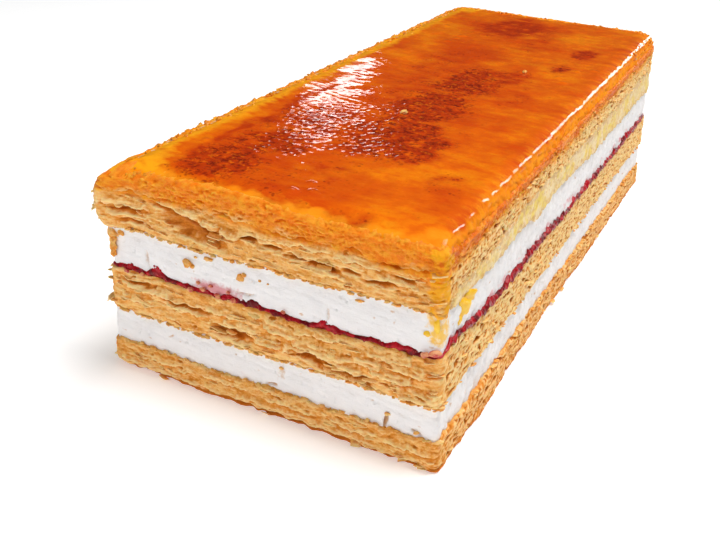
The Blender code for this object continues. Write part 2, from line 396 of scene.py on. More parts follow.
def folds(z, seed, long, high, depth):
    """Relief of torn puff pastry: rounded wavy sheets parted by narrow creases."""
    warp = 1.2 * MM * side_rough(z, (22, 22, 8), seed + 5)
    warp = warp + 0.5 * MM * side_rough(z, (6, 6, 3), seed + 6)
    torn = ease(side_rough(z, (15, 15, 6), seed + 9), -0.3, 0.35)
    total = 0
    for number in range(4):
        size = 0.55 ** number
        wave = rough(RIM_X, RIM_Y, z + warp, (long * size, long * size, high * size), seed + number)
        total = total + size * (np.abs(wave) ** 0.75 - 0.45)
    total = total * (0.3 + 0.6 * torn)
    total = total + 0.36 * side_layered(z, (2.4, 2.4, 1.5), seed + 12, 3)
    pores = rough(RIM_X, RIM_Y, z + warp, (3.6 * MM, 3.6 * MM, 1.3 * MM), seed + 7)
    patch = side_rough(z, (11, 11, 4), seed + 8)
    total = total - 1.2 * ease(pores, 0.4, 0.8) * ease(patch, -0.1, 0.4)
    return depth * total


def overhangs(z, places):
    """Thin sheets that hang over the front end; x, foot, half width, length and reach in mm."""
    total = np.zeros(np.broadcast(z, RIM_X).shape)
    for number, (x, foot, half_width, length, reach) in enumerate(places):
        jag = 0.9 * rough(RIM_X, 0, number, (4.2 * MM, 1, 0.7), 81)
        jag = jag + 0.5 * rough(RIM_X, 0, number, (1.4 * MM, 1, 0.7), 82)
        edge = (foot + jag) * MM
        hang = np.clip(1 - (z - edge) / (length * MM), 0, 1) ** 0.8
        side = ease(half_width + 0.8 * jag - np.abs(RIM_X / MM - x), 0, 2.5)
        sheet = reach * MM * hang * side * ease(z, edge - 0.1 * MM, edge + 0.25 * MM)
        total = np.maximum(total, sheet)
    return total * FRONTNESS * (1 + 0.45 * side_rough(z, (3, 3, 1.2), 83))


def blisters(z, seed, depth, size):
    """Rounded pits parted by thin walls, in patches; size 1 is 3 mm long pits."""
    push = 0.8 * MM * side_rough(z, (3, 3, 1.5), seed)
    total = 0
    for number, share in enumerate((1.0, 0.6, 0.35)):
        long = 3.4 * MM * size / (1 + number * 0.95)
        high = 1.5 * MM * size / (1 + number * 0.7)
        wall = rough(RIM_X + push, RIM_Y + push, z, (long, long, high), seed + 1 + number)
        patch = side_rough(z, (8, 8, 3), seed + 5 + number)
        total = total + share * ease(np.abs(wall), 0.05, 0.6) * (0.25 + 0.75 * ease(patch, -0.2, 0.4))
    return depth * total


def sawn(z, seed, depth):
    """Relief of a cut side: porous crumb with small holes and short slanted slits."""
    out = 0.5 * MM * side_rough(z, (12, 12, 4), seed)
    out = out + 0.22 * MM * side_layered(z, (2.4, 3.0, 1.6), seed + 1, 3)
    out = out + folds(z, seed + 40, 9 * MM, 2.2 * MM, 0.6 * MM)
    for number, lean in enumerate((0.3, -0.12)):
        along = RIM_Y * math.cos(lean) + z * math.sin(lean)
        across = z * math.cos(lean) - RIM_Y * math.sin(lean)
        slit = rough(RIM_X, along, across, (9 * MM, 5.5 * MM, 1.3 * MM), seed + 4 + number)
        out = out - depth * 1.3 * ease(slit, 0.34, 0.7)
    big = rough(RIM_X, RIM_Y + 0.5 * z, z, (9 * MM, 7 * MM, 2.8 * MM), seed + 9)
    out = out - depth * 1.9 * ease(big, 0.4, 0.8)
    return out - blisters(z, seed + 20, 0.5 * depth, 1.1)


def caves(z, places):
    """Depth of hollows on the front end; x, height, half width, half height, depth, fall."""
    total = np.zeros(np.broadcast(z, RIM_X).shape)
    wander = 1.0 * MM * rough(RIM_X, 0, z, (4 * MM, 1, 2.5 * MM), 77)
    for x, height, half_width, half_height, depth, fall in places:
        middle = (height + fall * (RIM_X / MM - x)) * MM + wander
        shape = bump(RIM_X, x * MM, half_width * MM) * bump(z, middle, half_height * MM)
        total = total + depth * MM * np.sqrt(shape) * FRONTNESS
    return total


# ---------------------------------------------------------------- materials

# Colours as light, in red, green, blue and opacity. First those of the crust.
TAN = (0.90, 0.43, 0.105, 1)
DEEP_TAN = (0.84, 0.33, 0.055, 1)
STRAW = (0.96, 0.60, 0.21, 1)
BROWN = (0.70, 0.24, 0.03, 1)
PALE_SHEET = (0.97, 0.66, 0.29, 1)
BROWN_SHEET = (0.76, 0.29, 0.045, 1)
BROWN_SPECK = (0.56, 0.19, 0.025, 1)
# Painted highlight where the crust stands out, and painted shade in its gaps.
TIP_HIGHLIGHT = (0.98, 0.72, 0.34, 1)
GAP_SHADE = (0.72, 0.23, 0.018, 1)
DEEP_GAP_SHADE = (0.50, 0.135, 0.010, 1)
YOLK_RUN = (0.97, 0.42, 0.012, 1)
# Crust soaked in glaze, with a painted highlight where it stands out and painted shade in its gaps.
SOAKED = (0.93, 0.21, 0.003, 1)
SOAKED_LIGHT = (0.98, 0.36, 0.012, 1)
SOAKED_TIP_HIGHLIGHT = (0.99, 0.49, 0.03, 1)
SOAKED_SPOT = (0.84, 0.165, 0.002, 1)
SOAKED_GAP_SHADE = (0.72, 0.12, 0.002, 1)
# The creams, what marks them, and the painted shade in their cracks.
CREAM = (0.90, 0.875, 0.865, 1)
CREAM_SHADE = (0.85, 0.825, 0.82, 1)
CRUMB_MARK_AND_CRACK_SHADE = (0.62, 0.33, 0.12, 1)
JAM_SMEAR = (0.70, 0.17, 0.20, 1)
YOLK_SMEAR = (0.96, 0.54, 0.03, 1)
# The jam and its crumbs.
CRIMSON = (0.30, 0.002, 0.008, 1)
BRIGHT_CRIMSON = (0.54, 0.010, 0.020, 1)
BLACK_CHERRY = (0.13, 0.002, 0.005, 1)
JAM_SEED = (0.62, 0.10, 0.07, 1)
JAM_CRUMB = (0.80, 0.36, 0.16, 1)
RED_CRUMB = (0.58, 0.05, 0.05, 1)
# The custard.
CUSTARD = (0.86, 0.60, 0.18, 1)
PALE_CUSTARD = (0.90, 0.74, 0.46, 1)
RICH_CUSTARD = (0.86, 0.62, 0.08, 1)
CUSTARD_CRUMB = (0.74, 0.42, 0.13, 1)
CUSTARD_ROOF = (0.70, 0.42, 0.17, 1)
CUSTARD_FOOT = (0.66, 0.36, 0.12, 1)
# The glaze from pale to burnt, and its lip, with painted shade in the lip's creases.
GOLDEN = (0.99, 0.39, 0.008, 1)
PALE_AMBER = (0.90, 0.25, 0.001, 1)
AMBER = (0.83, 0.155, 0.0005, 1)
DARK_AMBER = (0.66, 0.072, 0.0004, 1)
BURNT = (0.60, 0.055, 0.0006, 1)
MAHOGANY = (0.40, 0.026, 0.0008, 1)
CLOT = (0.20, 0.010, 0.0007, 1)
GLINT = (0.88, 0.18, 0.003, 1)
BURNT_SPECK = (0.26, 0.018, 0.0008, 1)
LIP = (0.90, 0.22, 0.003, 1)
LIP_LIGHT = (0.96, 0.33, 0.012, 1)
LIP_BURN_AND_SHADE = (0.50, 0.12, 0.008, 1)
# Toasted crumbs and runny yolk.
TOAST = (0.94, 0.42, 0.02, 1)
DARK_TOAST = (0.70, 0.19, 0.01, 1)
CHAR = (0.20, 0.04, 0.006, 1)
YOLK = (0.95, 0.52, 0.010, 1)
LIGHT_YOLK = (0.97, 0.62, 0.04, 1)

# How much fine noise a grain holds, where nothing else is said.
GRAIN_ROUGHNESS = 0.6


def nodes_of(name):
    """New node material with its tree and its Principled shader."""
    made = bpy.data.materials.new(name)
    made.use_nodes = True
    return made, made.node_tree, made.node_tree.nodes["Principled BSDF"]


def add(tree, kind, **settings):
    """Add a node of one kind with its own settings."""
    node = tree.nodes.new(kind)
    for key, value in settings.items():
        setattr(node, key, value)
    return node


def feed(tree, value, socket):
    """Set a socket to a plain value, or link it from another node's socket."""
    if isinstance(value, bpy.types.NodeSocket):
        tree.links.new(value, socket)
    else:
        socket.default_value = value


def math_node(tree, operation, first, second):
    """Join two numbers by one sum."""
    node = add(tree, "ShaderNodeMath", operation=operation)
    feed(tree, first, node.inputs[0])
    feed(tree, second, node.inputs[1])
    return node.outputs[0]


def blend(tree, share, first, second):
    """Mix two colours: the share is how much there is of the second."""
    node = add(tree, "ShaderNodeMix", data_type="RGBA", blend_type="MIX")
    feed(tree, share, node.inputs[0])
    feed(tree, first, node.inputs[6])
    feed(tree, second, node.inputs[7])
    return node.outputs[2]


def spread(tree, value, low, high, new_low=0.0, new_high=1.0):
    """Stretch a range of values to a new one, clamped."""
    node = add(tree, "ShaderNodeMapRange")
    feed(tree, value, node.inputs["Value"])
    for name, number in (("From Min", low), ("From Max", high), ("To Min", new_low),
                         ("To Max", new_high)):
        node.inputs[name].default_value = number
    return node.outputs["Result"]


def new_group(name, inputs, output, kind):
    """A node group with its own sockets, and the nodes that stand for them inside it."""
    group = bpy.data.node_groups.new(name, "ShaderNodeTree")
    for socket, socket_kind in inputs:
        group.interface.new_socket(name=socket, in_out="INPUT", socket_type="NodeSocket" + socket_kind)
    group.interface.new_socket(name=output, in_out="OUTPUT", socket_type="NodeSocket" + kind)
    return group, group.nodes.new("NodeGroupInput"), group.nodes.new("NodeGroupOutput")


def object_noise(group):
    """Noise on the object's own coordinates, and the node that stretches them."""
    place_node = add(group, "ShaderNodeTexCoord")
    turn = add(group, "ShaderNodeMapping")
    noise_node = add(group, "ShaderNodeTexNoise")
    group.links.new(place_node.outputs["Object"], turn.inputs["Vector"])
    group.links.new(turn.outputs["Vector"], noise_node.inputs["Vector"])
    return noise_node, turn


def grain_group():
    """Noise of any scale and stretch, shared by every material."""
    group, inside, outside = new_group("grain", [
        ("Scale", "Float"), ("Detail", "Float"), ("Roughness", "Float"), ("Stretch", "Vector")],
        "Grain", "Float")
    noise_node, turn = object_noise(group)
    group.links.new(inside.outputs["Stretch"], turn.inputs["Scale"])
    for name in ("Scale", "Detail", "Roughness"):
        group.links.new(inside.outputs[name], noise_node.inputs[name])
    group.links.new(noise_node.outputs["Fac"], outside.inputs["Grain"])
    return group


def mottle_group():
    """Two colours in soft patches, shared by the softer materials."""
    group, inside, outside = new_group("mottle", [
        ("Scale", "Float"), ("Detail", "Float"), ("Low", "Float"), ("High", "Float"),
        ("First", "Color"), ("Second", "Color")], "Color", "Color")
    patches = object_noise(group)[0]
    patches.inputs["Roughness"].default_value = GRAIN_ROUGHNESS
    for name in ("Scale", "Detail"):
        group.links.new(inside.outputs[name], patches.inputs[name])
    share = add(group, "ShaderNodeMapRange")
    group.links.new(patches.outputs["Fac"], share.inputs["Value"])
    group.links.new(inside.outputs["Low"], share.inputs["From Min"])
    group.links.new(inside.outputs["High"], share.inputs["From Max"])
    body = blend(group, share.outputs["Result"], inside.outputs["First"], inside.outputs["Second"])
    group.links.new(body, outside.inputs["Color"])
    return group


def broken_edge_group():
    """A painted number whose edges are broken up by a noise, shared by every layer."""
    group, inside, outside = new_group("broken edge", [
        ("Paint", "Float"), ("Noise", "Float"), ("Amount", "Float")], "Paint", "Float")
    swing = spread(group, inside.outputs["Noise"], 0.3, 0.7, -1, 1)
    swing = math_node(group, "MULTIPLY", swing, inside.outputs["Amount"])
    total = math_node(group, "ADD", inside.outputs["Paint"], swing)
    group.links.new(total, outside.inputs["Paint"])
    return group


def shared(tree, name, make, **inputs):
    """Place a node group in a material with its own values; it is built at its first use."""
    group = bpy.data.node_groups.get(name) or make()
    node = add(tree, "ShaderNodeGroup", node_tree=group)
    for socket, value in inputs.items():
        feed(tree, value, node.inputs[socket])
    return node.outputs[0]


def grain(tree, scale, detail=4.0, roughness=GRAIN_ROUGHNESS, stretch=(1, 1, 1)):
    """Noise; scale in bumps per metre."""
    return shared(tree, "grain", grain_group, Scale=scale, Detail=detail, Roughness=roughness,
                  Stretch=stretch)


def mottle(tree, scale, detail, low, high, first, second):
    """Two colours in soft patches; scale in patches per metre."""
    return shared(tree, "mottle", mottle_group, Scale=scale, Detail=detail, Low=low, High=high,
                  First=first, Second=second)


def stored(tree, name):
    """A number stored on the points of the mesh."""
    return add(tree, "ShaderNodeAttribute", attribute_name=name).outputs["Fac"]


def painted(tree, name, noise_value, amount):
    """A number stored on the mesh, with its edges broken up by a noise that swings by amount."""
    return shared(tree, "broken edge", broken_edge_group, Paint=stored(tree, name), Noise=noise_value,
                  Amount=amount)


def roughen(tree, shader, height, strength, distance):
    """Fine relief on a shader, from a height that changes over the surface."""
    node = add(tree, "ShaderNodeBump")
    feed(tree, height, node.inputs["Height"])
    node.inputs["Strength"].default_value = strength
    node.inputs["Distance"].default_value = distance
    feed(tree, node.outputs["Normal"], shader.inputs["Normal"])


# ---------------------------------------------------------------- crust, cream, jam and custard

def crust_material():
    """Baked crust: tan faces, a painted pale highlight where it stands out, painted brown shade in its gaps,
    and orange where yolk glaze soaks in.
    """
    if "baked crust" in bpy.data.materials:
        return bpy.data.materials["baked crust"]
    made, tree, shader = nodes_of("baked crust")
    patches = grain(tree, 75, 3, 0.6)
    blots = grain(tree, 330, 3, 0.65, (1, 1, 1.6))
    specks = grain(tree, 1100, 3, 0.7, (1, 1, 1.7))
    body = blend(tree, spread(tree, patches, 0.35, 0.68), TAN, DEEP_TAN)
    body = blend(tree, spread(tree, blots, 0.42, 0.62, 0, 0.8), body, STRAW)
    body = blend(tree, spread(tree, blots, 0.48, 0.3, 0, 0.65), body, BROWN)
    sheets = grain(tree, 320, 3, 0.6, (0.45, 0.45, 2.0))
    body = blend(tree, spread(tree, sheets, 0.5, 0.64, 0, 0.65), body, PALE_SHEET)
    body = blend(tree, spread(tree, sheets, 0.45, 0.33, 0, 0.6), body, BROWN_SHEET)
    body = blend(tree, spread(tree, specks, 0.57, 0.75, 0, 0.5), body, BROWN_SPECK)
    # Painted highlight where the relief stands out, painted shade where it sinks.
    tip_highlights = painted(tree, "tip_highlight", specks, 0.15)
    body = blend(tree, spread(tree, tip_highlights, 0.15, 0.8, 0, 0.8), body, TIP_HIGHLIGHT)
    shade_and_spots = painted(tree, "shade_and_spots", specks, 0.12)
    body = blend(tree, spread(tree, shade_and_spots, 0.12, 0.5, 0, 0.85), body, GAP_SHADE)
    body = blend(tree, spread(tree, shade_and_spots, 0.5, 1.0, 0, 0.85), body, DEEP_GAP_SHADE)
    soak = painted(tree, "soak", blots, 0.3)
    soaked = soaked_colour(tree, blots, tip_highlights, shade_and_spots)
    body = blend(tree, spread(tree, soak, 0.2, 0.85, 0, 0.92), body, soaked)
    yolk = painted(tree, "yolk", blots, 0.3)
    body = blend(tree, spread(tree, yolk, 0.35, 0.75, 0, 0.9), body, YOLK_RUN)
    feed(tree, body, shader.inputs["Base Color"])
    feed(tree, spread(tree, soak, 0.3, 1.0, 0.8, 0.4), shader.inputs["Roughness"])
    shader.inputs["Specular IOR Level"].default_value = 0.12
    shader.inputs["Subsurface Weight"].default_value = 0.35
    shader.inputs["Subsurface Radius"].default_value = (1.0, 0.45, 0.2)
    shader.inputs["Subsurface Scale"].default_value = 1.2 * MM
    height = math_node(tree, "ADD", grain(tree, 2300, 2, 0.7), specks)
    roughen(tree, shader, height, 0.7, 0.35 * MM)
    return made


def soaked_colour(tree, blots, tip_highlights, shade_and_spots):
    """Orange of crust full of glaze: a painted yellow highlight where it stands out, painted deep amber
    shade in its gaps.
    """
    orange = blend(tree, spread(tree, blots, 0.4, 0.65), SOAKED, SOAKED_LIGHT)
    orange = blend(tree, spread(tree, tip_highlights, 0.2, 0.9, 0, 0.75), orange, SOAKED_TIP_HIGHLIGHT)
    spots = spread(tree, grain(tree, 260, 4, 0.7, (1, 1, 1.5)), 0.52, 0.66, 0, 0.65)
    orange = blend(tree, spots, orange, SOAKED_SPOT)
    return blend(tree, spread(tree, shade_and_spots, 0.2, 1.0, 0, 0.8), orange, SOAKED_GAP_SHADE)


def corner_yolk(z):
    """Where yolk ran down the front right corner of the crust and the cream below it."""
    near = ease(RIM_X, 55 * MM, 60 * MM) * ease(-RIM_Y, 141 * MM, 147 * MM)
    return 0.95 * near * ease(z, 42 * MM, 47 * MM) * (0.75 + 0.5 * rough(RIM_X, RIM_Y, z, 2.6 * MM, 403))


def cream_material(name):
    """Whipped cream: near white, a little translucent, with tan marks where crumb touched it and painted
    shade in its cracks.
    """
    made, tree, shader = nodes_of(name)
    soft = grain(tree, 120, 3, 0.5)
    body = blend(tree, spread(tree, soft, 0.35, 0.7), CREAM, CREAM_SHADE)
    # Tan crumb marks, and painted shade in the cracks.
    marks_and_crack_shade = painted(tree, "marks_and_crack_shade", grain(tree, 900, 3), 0.25)
    body = blend(tree, spread(tree, marks_and_crack_shade, 0.2, 0.9, 0, 0.85), body, CRUMB_MARK_AND_CRACK_SHADE)
    pink = painted(tree, "pink", grain(tree, 700, 3), 0.3)
    body = blend(tree, spread(tree, pink, 0.25, 0.9, 0, 0.75), body, JAM_SMEAR)
    yolk = painted(tree, "yolk", grain(tree, 600, 3), 0.3)
    body = blend(tree, spread(tree, yolk, 0.3, 0.8, 0, 0.9), body, YOLK_SMEAR)
    feed(tree, body, shader.inputs["Base Color"])
    shader.inputs["Roughness"].default_value = 0.5
    shader.inputs["Specular IOR Level"].default_value = 0.3
    shader.inputs["Subsurface Weight"].default_value = 0.2
    shader.inputs["Subsurface Radius"].default_value = (1.0, 0.9, 0.8)
    shader.inputs["Subsurface Scale"].default_value = 1.2 * MM
    fine = math_node(tree, "ADD", grain(tree, 1500, 2, 0.6), grain(tree, 420, 3, 0.6, (1, 1, 2.5)))
    roughen(tree, shader, fine, 0.5, 0.35 * MM)
    return made


def jam_material():
    """Red berry jam: wet, from bright crimson to almost black."""
    made, tree, shader = nodes_of("crimson jam")
    body = mottle(tree, 500, 3, 0.4, 0.65, CRIMSON, BRIGHT_CRIMSON)
    body = mottle(tree, 260, 3, 0.46, 0.6, body, BLACK_CHERRY)
    body = blend(tree, spread(tree, grain(tree, 650, 2), 0.62, 0.75, 0, 0.6), body, JAM_SEED)
    feed(tree, body, shader.inputs["Base Color"])
    shader.inputs["Roughness"].default_value = 0.3
    shader.inputs["Specular IOR Level"].default_value = 0.25
    roughen(tree, shader, grain(tree, 1100, 3), 0.6, 0.3 * MM)
    return made


def jam_crumb_material():
    """Crumb of crust soaked in jam."""
    made, tree, shader = nodes_of("crumb in jam")
    body = mottle(tree, 420, 3, 0.42, 0.6, JAM_CRUMB, RED_CRUMB)
    feed(tree, body, shader.inputs["Base Color"])
    shader.inputs["Roughness"].default_value = 0.45
    roughen(tree, shader, grain(tree, 1400, 2), 0.6, 0.3 * MM)
    return made


def custard_material():
    """Yolk custard: pale yellow with crumb sticking to it."""
    made, tree, shader = nodes_of("pale yolk custard")
    body = mottle(tree, 160, 3, 0.35, 0.65, CUSTARD, PALE_CUSTARD)
    body = blend(tree, spread(tree, grain(tree, 110, 3), 0.5, 0.6, 0, 0.9), body, RICH_CUSTARD)
    stuck = spread(tree, grain(tree, 420, 4, 0.7, (1, 1, 1.6)), 0.5, 0.64, 0, 0.8)
    body = blend(tree, stuck, body, CUSTARD_CRUMB)
    # Tan towards the top of the band and darker towards its foot.
    height_share = painted(tree, "share", grain(tree, 420, 3), 0.35)
    body = blend(tree, spread(tree, height_share, 0.7, 1.0), body, CUSTARD_ROOF)
    body = blend(tree, spread(tree, height_share, 0.16, 0.0, 0, 0.7), body, CUSTARD_FOOT)
    feed(tree, body, shader.inputs["Base Color"])
    shader.inputs["Roughness"].default_value = 0.5
    roughen(tree, shader, grain(tree, 900, 3), 0.5, 0.3 * MM)
    return made


def dress(piece, slot, made, degrees):
    """Material and shading of a piece that rides on the bar; the slot is not used."""
    piece.data.materials.append(made)
    shade(piece, degrees)
    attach(piece, "root")


def dress_layer(piece, node, made, degrees):
    """The same for a piece that stands for a whole solid."""
    dress(piece, node, made, degrees)
    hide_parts(node)


# Outsets of the flat middle, of the ring before it, and of a pastry's steps down from its lip.
INNER = -FLAT_INSET
SHELF = -3 * MM
LIP_INSETS = (-0.8 * MM, -2.0 * MM, -3.6 * MM, -6.0 * MM)


def crust(name, node, floor, roof, rows, relief, hollows, soak, hang=0):
    """One pastry layer: a flaky side between its floor and its roof, closed flat inside."""
    ragged_low = 0.4 * MM * ripple(4, len(name)) + 0.3 * MM * ripple(1.5, len(name) + 5)
    ragged_high = 0.4 * MM * ripple(5, len(name) + 9) + 0.25 * MM * ripple(1.6, len(name) + 12)
    share = np.linspace(0, 1, rows + 1)[:, None]
    low = floor(0) + ragged_low - 0.2 * MM - hang if floor else 0
    high = roof(0) + ragged_high + 0.2 * MM
    z = low + (high - low) * share
    cave = caves(z, hollows)
    out = relief(z) - cave + flare(z)
    # Painted shade where the relief sinks below its surroundings and in the caves, painted highlight where
    # it stands out; both are stronger along the sides.
    near = blurred(out, 2)
    wide = blurred(out, 7)
    gain = 1 + 0.7 * SIDENESS
    shade_and_spots = np.clip((near - out) / (0.65 * MM), 0, 0.5) + np.clip((wide - out) / (1.7 * MM), 0, 0.7)
    shade_and_spots = gain * shade_and_spots + np.clip(cave / (4.0 * MM), 0, 0.6)
    # The bottom crust: its lowest 2 mm are painted darker, and painted shade covers all of it, deepest on
    # the right side.
    if not floor:
        shade_and_spots = shade_and_spots + 0.55 * (1 - ease(z + 0.8 * MM * ripple(2.5, 47), 0.6 * MM, 2.2 * MM))
        shade_and_spots = shade_and_spots + 0.11 + 0.12 * RIGHTNESS
    tip_highlight = gain * (np.clip((out - near) / (0.35 * MM), 0, 1) + np.clip((out - wide) / (1.2 * MM), 0, 0.4))
    out = out - 0.6 * MM * (1 - ease(share, 0, 0.06)) - 0.6 * MM * ease(share, 0.95, 1)
    low_near = floor(SHELF) if floor else 0
    low_inner = floor(INNER) if floor else 0
    outs = stack(INNER, SHELF, out, *[out[-1] + inset for inset in LIP_INSETS], INNER)
    outs = np.maximum(outs, INNER)
    heights = stack(low_inner, low_near, z, *[roof(inset) for inset in LIP_INSETS], roof(INNER))
    inside = [0.1] * (len(LIP_INSETS) + 1)
    numbers = {
        "shade_and_spots": stack(0.1, 0.1, shade_and_spots, *inside),
        "tip_highlight": stack(0.1, 0.1, tip_highlight, *inside),
        "soak": soak(heights) if soak else np.zeros_like(outs),
        "yolk": corner_yolk(heights) if soak else np.zeros_like(outs),
    }
    piece = wrap(name, place(TURNS, outs, heights), numbers)
    dress_layer(piece, node, crust_material(), 80)


def pastry_bottom():
    """Bottom pastry: shallow sheets, a wavy right side and a foot painted darker."""
    def relief(z):
        end = folds(z, 21, 8 * MM, 2.1 * MM, 0.75 * MM) + overhangs(z, [
            (-40, 6.8, 12, 2.6, 0.9), (-15, 7.4, 10, 2.6, 0.9), (10, 6.6, 10, 2.5, 0.9),
            (34, 6.4, 9, 2.4, 0.9), (52, 5.8, 9, 2.4, 1.0), (-52, 3.4, 8, 2.2, 0.9),
            (0, 3.4, 12, 2.0, 0.9), (28, 3.2, 12, 2.0, 0.9), (-28, 3.0, 10, 2.0, 0.9)])
        side = sawn(z, 121, 0.8 * MM)
        swell = 0.9 * bump(RIM_Y, -108 * MM, 26 * MM) - 0.8 * bump(RIM_Y, -25 * MM, 50 * MM)
        side = side + RIGHTNESS * MM * swell
        return mixed(end, side, z, 31)

    hollows = [(-50, 0.6, 26, 1.7, 2.2, 0), (8, 1.0, 36, 1.5, 2.4, 0), (48, 0.6, 14, 1.2, 1.6, 0)]
    crust("bottom_crust", "pastry_bottom", None, pastry_bottom_top, 34, relief, hollows, None)


def mixed(end, side, z, seed):
    """Torn relief at the ends and sawn relief along the sides, merging at the corners."""
    swap = side_rough(z, (8, 8, 4), seed)
    share = np.clip(0.12 + 0.88 * ease(ENDNESS + 0.5 * swap * (ENDNESS > 0), 0.2, 0.8), 0, 1)
    return end * share + side * (1 - share)


def pastry_middle():
    """Middle pastry: the coarsest sheets, hanging over two long caves at the front end."""
    def relief(z):
        end = folds(z, 41, 12 * MM, 3.0 * MM, 0.75 * MM) + overhangs(z, [
            (8, 33.5, 8, 5, 1.7), (16, 31.5, 6, 5.5, 2.0), (24, 30.4, 7, 6, 2.2), (31, 28.8, 5, 6, 2.5),
            (34, 27.2, 3, 5, 2.7), (38, 31.8, 6, 4.5, 1.9), (46, 29.6, 8, 5, 2.1), (52, 33, 7, 4, 1.7),
            (2, 27.8, 6, 4, 1.7), (12, 27.2, 5, 3.5, 1.9), (20, 36, 9, 3, 1.2), (45, 36, 9, 3, 1.3),
            (-8, 30.6, 8, 4, 1.5), (-18, 33.6, 9, 4, 1.2), (-30, 30.6, 9, 3.5, 1.2),
            (-45, 33.2, 10, 3, 1.2), (-50, 28.6, 8, 3, 1.1), (55, 24.8, 8, 4, 1.8), (30, 24.8, 9, 3, 1.4)])
        return mixed(end, sawn(z, 141, 0.9 * MM), z, 51)

    hollows = [
        (-12, 27.6, 9, 1.9, 3.4, 0.04),
        (16, 28.0, 8, 1.6, 3.0, -0.04),
        (30, 26.6, 12, 1.7, 3.6, -0.03),
        (-30, 32.5, 12, 1.0, 1.8, 0.02),
        (-50, 36.0, 8, 0.9, 1.6, 0),
    ]
    crust("middle_crust", "pastry_middle", cream_lower_top, pastry_middle_top, 50, relief, hollows, None)


def pastry_top():
    """Top pastry: the wide cave at the front end, and glaze soaked into its upper part."""
    def relief(z):
        end = folds(z, 61, 9 * MM, 2.3 * MM, 0.8 * MM)
        over = overhangs(z, [
            (-30, 64.8, 7, 3, 1.7), (-22, 63.0, 7, 3, 2.1), (-13, 62.0, 6, 3, 1.9), (-36, 66.6, 4, 3, 1.3),
            (-52, 63.6, 9, 2.5, 1.1), (-50, 60.2, 9, 2.2, 1.0), (5, 64.8, 8, 2.5, 1.2),
            (18, 65.4, 8, 2.5, 1.0), (34, 64.6, 9, 2.4, 1.2), (50, 65.8, 8, 2.4, 1.0),
            (48, 61.6, 8, 2.2, 1.1), (15, 61.2, 6, 2, 1.0)])
        return mixed(end, sawn(z, 161, 0.9 * MM), z, 71) + over

    hollows = [
        (-26, 61.6, 15, 4.2, 3.4, -0.16),
        (-30, 63.6, 9, 1.6, 2.6, -0.3),
        (22, 60.8, 7, 1.5, 3.2, 0),
        (13, 61.8, 4, 0.9, 2.2, 0),
        (4, 62.6, 4, 0.8, 2.2, -0.04),
        (-5, 63.2, 4, 0.8, 2.4, 0.1),
        (32, 61.6, 4, 0.8, 2.0, 0),
        (42, 60.4, 7, 0.9, 2.0, 0.03),
        (50, 63.8, 4, 0.7, 1.8, 0),
        (46, 67.2, 5, 0.7, 1.8, 0),
        (-53, 62.5, 6, 1.0, 2.0, 0),
        (-50, 58.6, 7, 0.7, 1.6, 0),
        (-40, 66.5, 5, 0.8, 1.4, -0.2),
    ]

    def soak(heights):
        depth = 3.5 * MM + 2.5 * MM * RIGHTNESS + 4 * MM * ease(RIM_X, 48 * MM, 60 * MM) * FRONTNESS
        depth = depth + 1.6 * MM * ripple(9, 33)
        return ease(heights, glaze_bed(0) - depth, glaze_bed(0) + 0.5 * MM)

    hang = RIGHTNESS * (1.6 * MM + 1.5 * MM * ripple(7, 41) + 0.9 * MM * ripple(2.5, 42))
    crust("top_crust", "pastry_top", custard_top, glaze_bed, 54, relief, hollows, soak, hang)


def soft_layer(name, node, floor, roof, rows, back, relief, made, numbers, swell):
    """One cream, jam or custard layer: a side with its own relief, closed flat inside.

    swell is how far the side rises and sinks past its own roof and floor, as a smear.
    """
    share = np.linspace(0, 1, rows + 1)[:, None]
    low = floor(0) - 0.2 * MM - swell[0]
    high = roof(0) + 0.2 * MM + swell[1]
    z = low + (high - low) * share
    out = relief(z, share) - back + flare(z)
    outs = stack(INNER, out, INNER)
    heights = stack(floor(INNER), z, roof(INNER))
    values = {"share": stack(0, share, 1)}
    for attribute, paint in numbers.items():
        values[attribute] = stack(0, paint(z), 0)
    piece = wrap(name, place(TURNS, outs, heights), values)
    dress_layer(piece, node, made, 60)


def cream_relief(z, share, seed, cracks):
    """Knife marks on the ends, ruffled lumps along the sides."""
    end = 0.16 * MM * rough(RIM_X, RIM_Y, z + 0.12 * RIM_X, (14 * MM, 14 * MM, 1.0 * MM), seed)
    end = end + 0.18 * MM * side_layered(z, (5, 5, 3), seed + 1, 3)
    nick = side_rough(z, (2.0, 2.0, 1.1), seed + 5)
    end = end - 0.4 * MM * ease(nick, 0.62, 0.8)
    side = 0.75 * MM * rough(RIM_X, RIM_Y - 0.7 * z, z, (4 * MM, 2.6 * MM, 6 * MM), seed + 6)
    side = side + 0.4 * MM * side_layered(z, (1.8, 1.8, 1.6), seed + 7, 2)
    round_over = 0.5 * MM * (np.sin(share * math.pi) - 1)
    return end * (1 - SIDENESS) + side * SIDENESS + round_over - caves(z, cracks)


def crumb_marks(z, seed, amount):
    """Stretches of cream that carry crumb."""
    spot = side_rough(z, (3.2, 3.2, 1.6), seed)
    return ease(spot, amount, amount + 0.25)


def cream_lower():
    """Lower whipped cream, with three cracks painted with shade and a tan smear at the front end."""
    cracks = [(3, 12.8, 2.5, 0.8, 1.4, 0.5), (45, 14, 1.0, 2.6, 1.8, 2.0), (55.5, 13.2, 2.2, 0.8, 1.2, -0.3)]

    def relief(z, share):
        return cream_relief(z, share, 201, cracks)

    def marks_and_crack_shade(z):
        smear = bump(RIM_X, 7 * MM, 2.4 * MM) * bump(z, 19 * MM, 5 * MM) * 0.55
        # Painted shade in the cracks.
        crack_shade = np.clip(caves(z, cracks) / (0.9 * MM), 0, 1)
        return np.clip(smear * FRONTNESS + crack_shade + 0.7 * crumb_marks(z, 211, 0.62), 0, 1)

    back = 1.5 * MM - 0.9 * MM * (1 - SIDENESS)
    numbers = {"marks_and_crack_shade": marks_and_crack_shade, "pink": np.zeros_like, "yolk": np.zeros_like}
    soft_layer("lower_cream", "cream_lower", pastry_bottom_top, cream_lower_top, 24, back, relief,
               cream_material("lower whipped cream"), numbers, (0, 0))


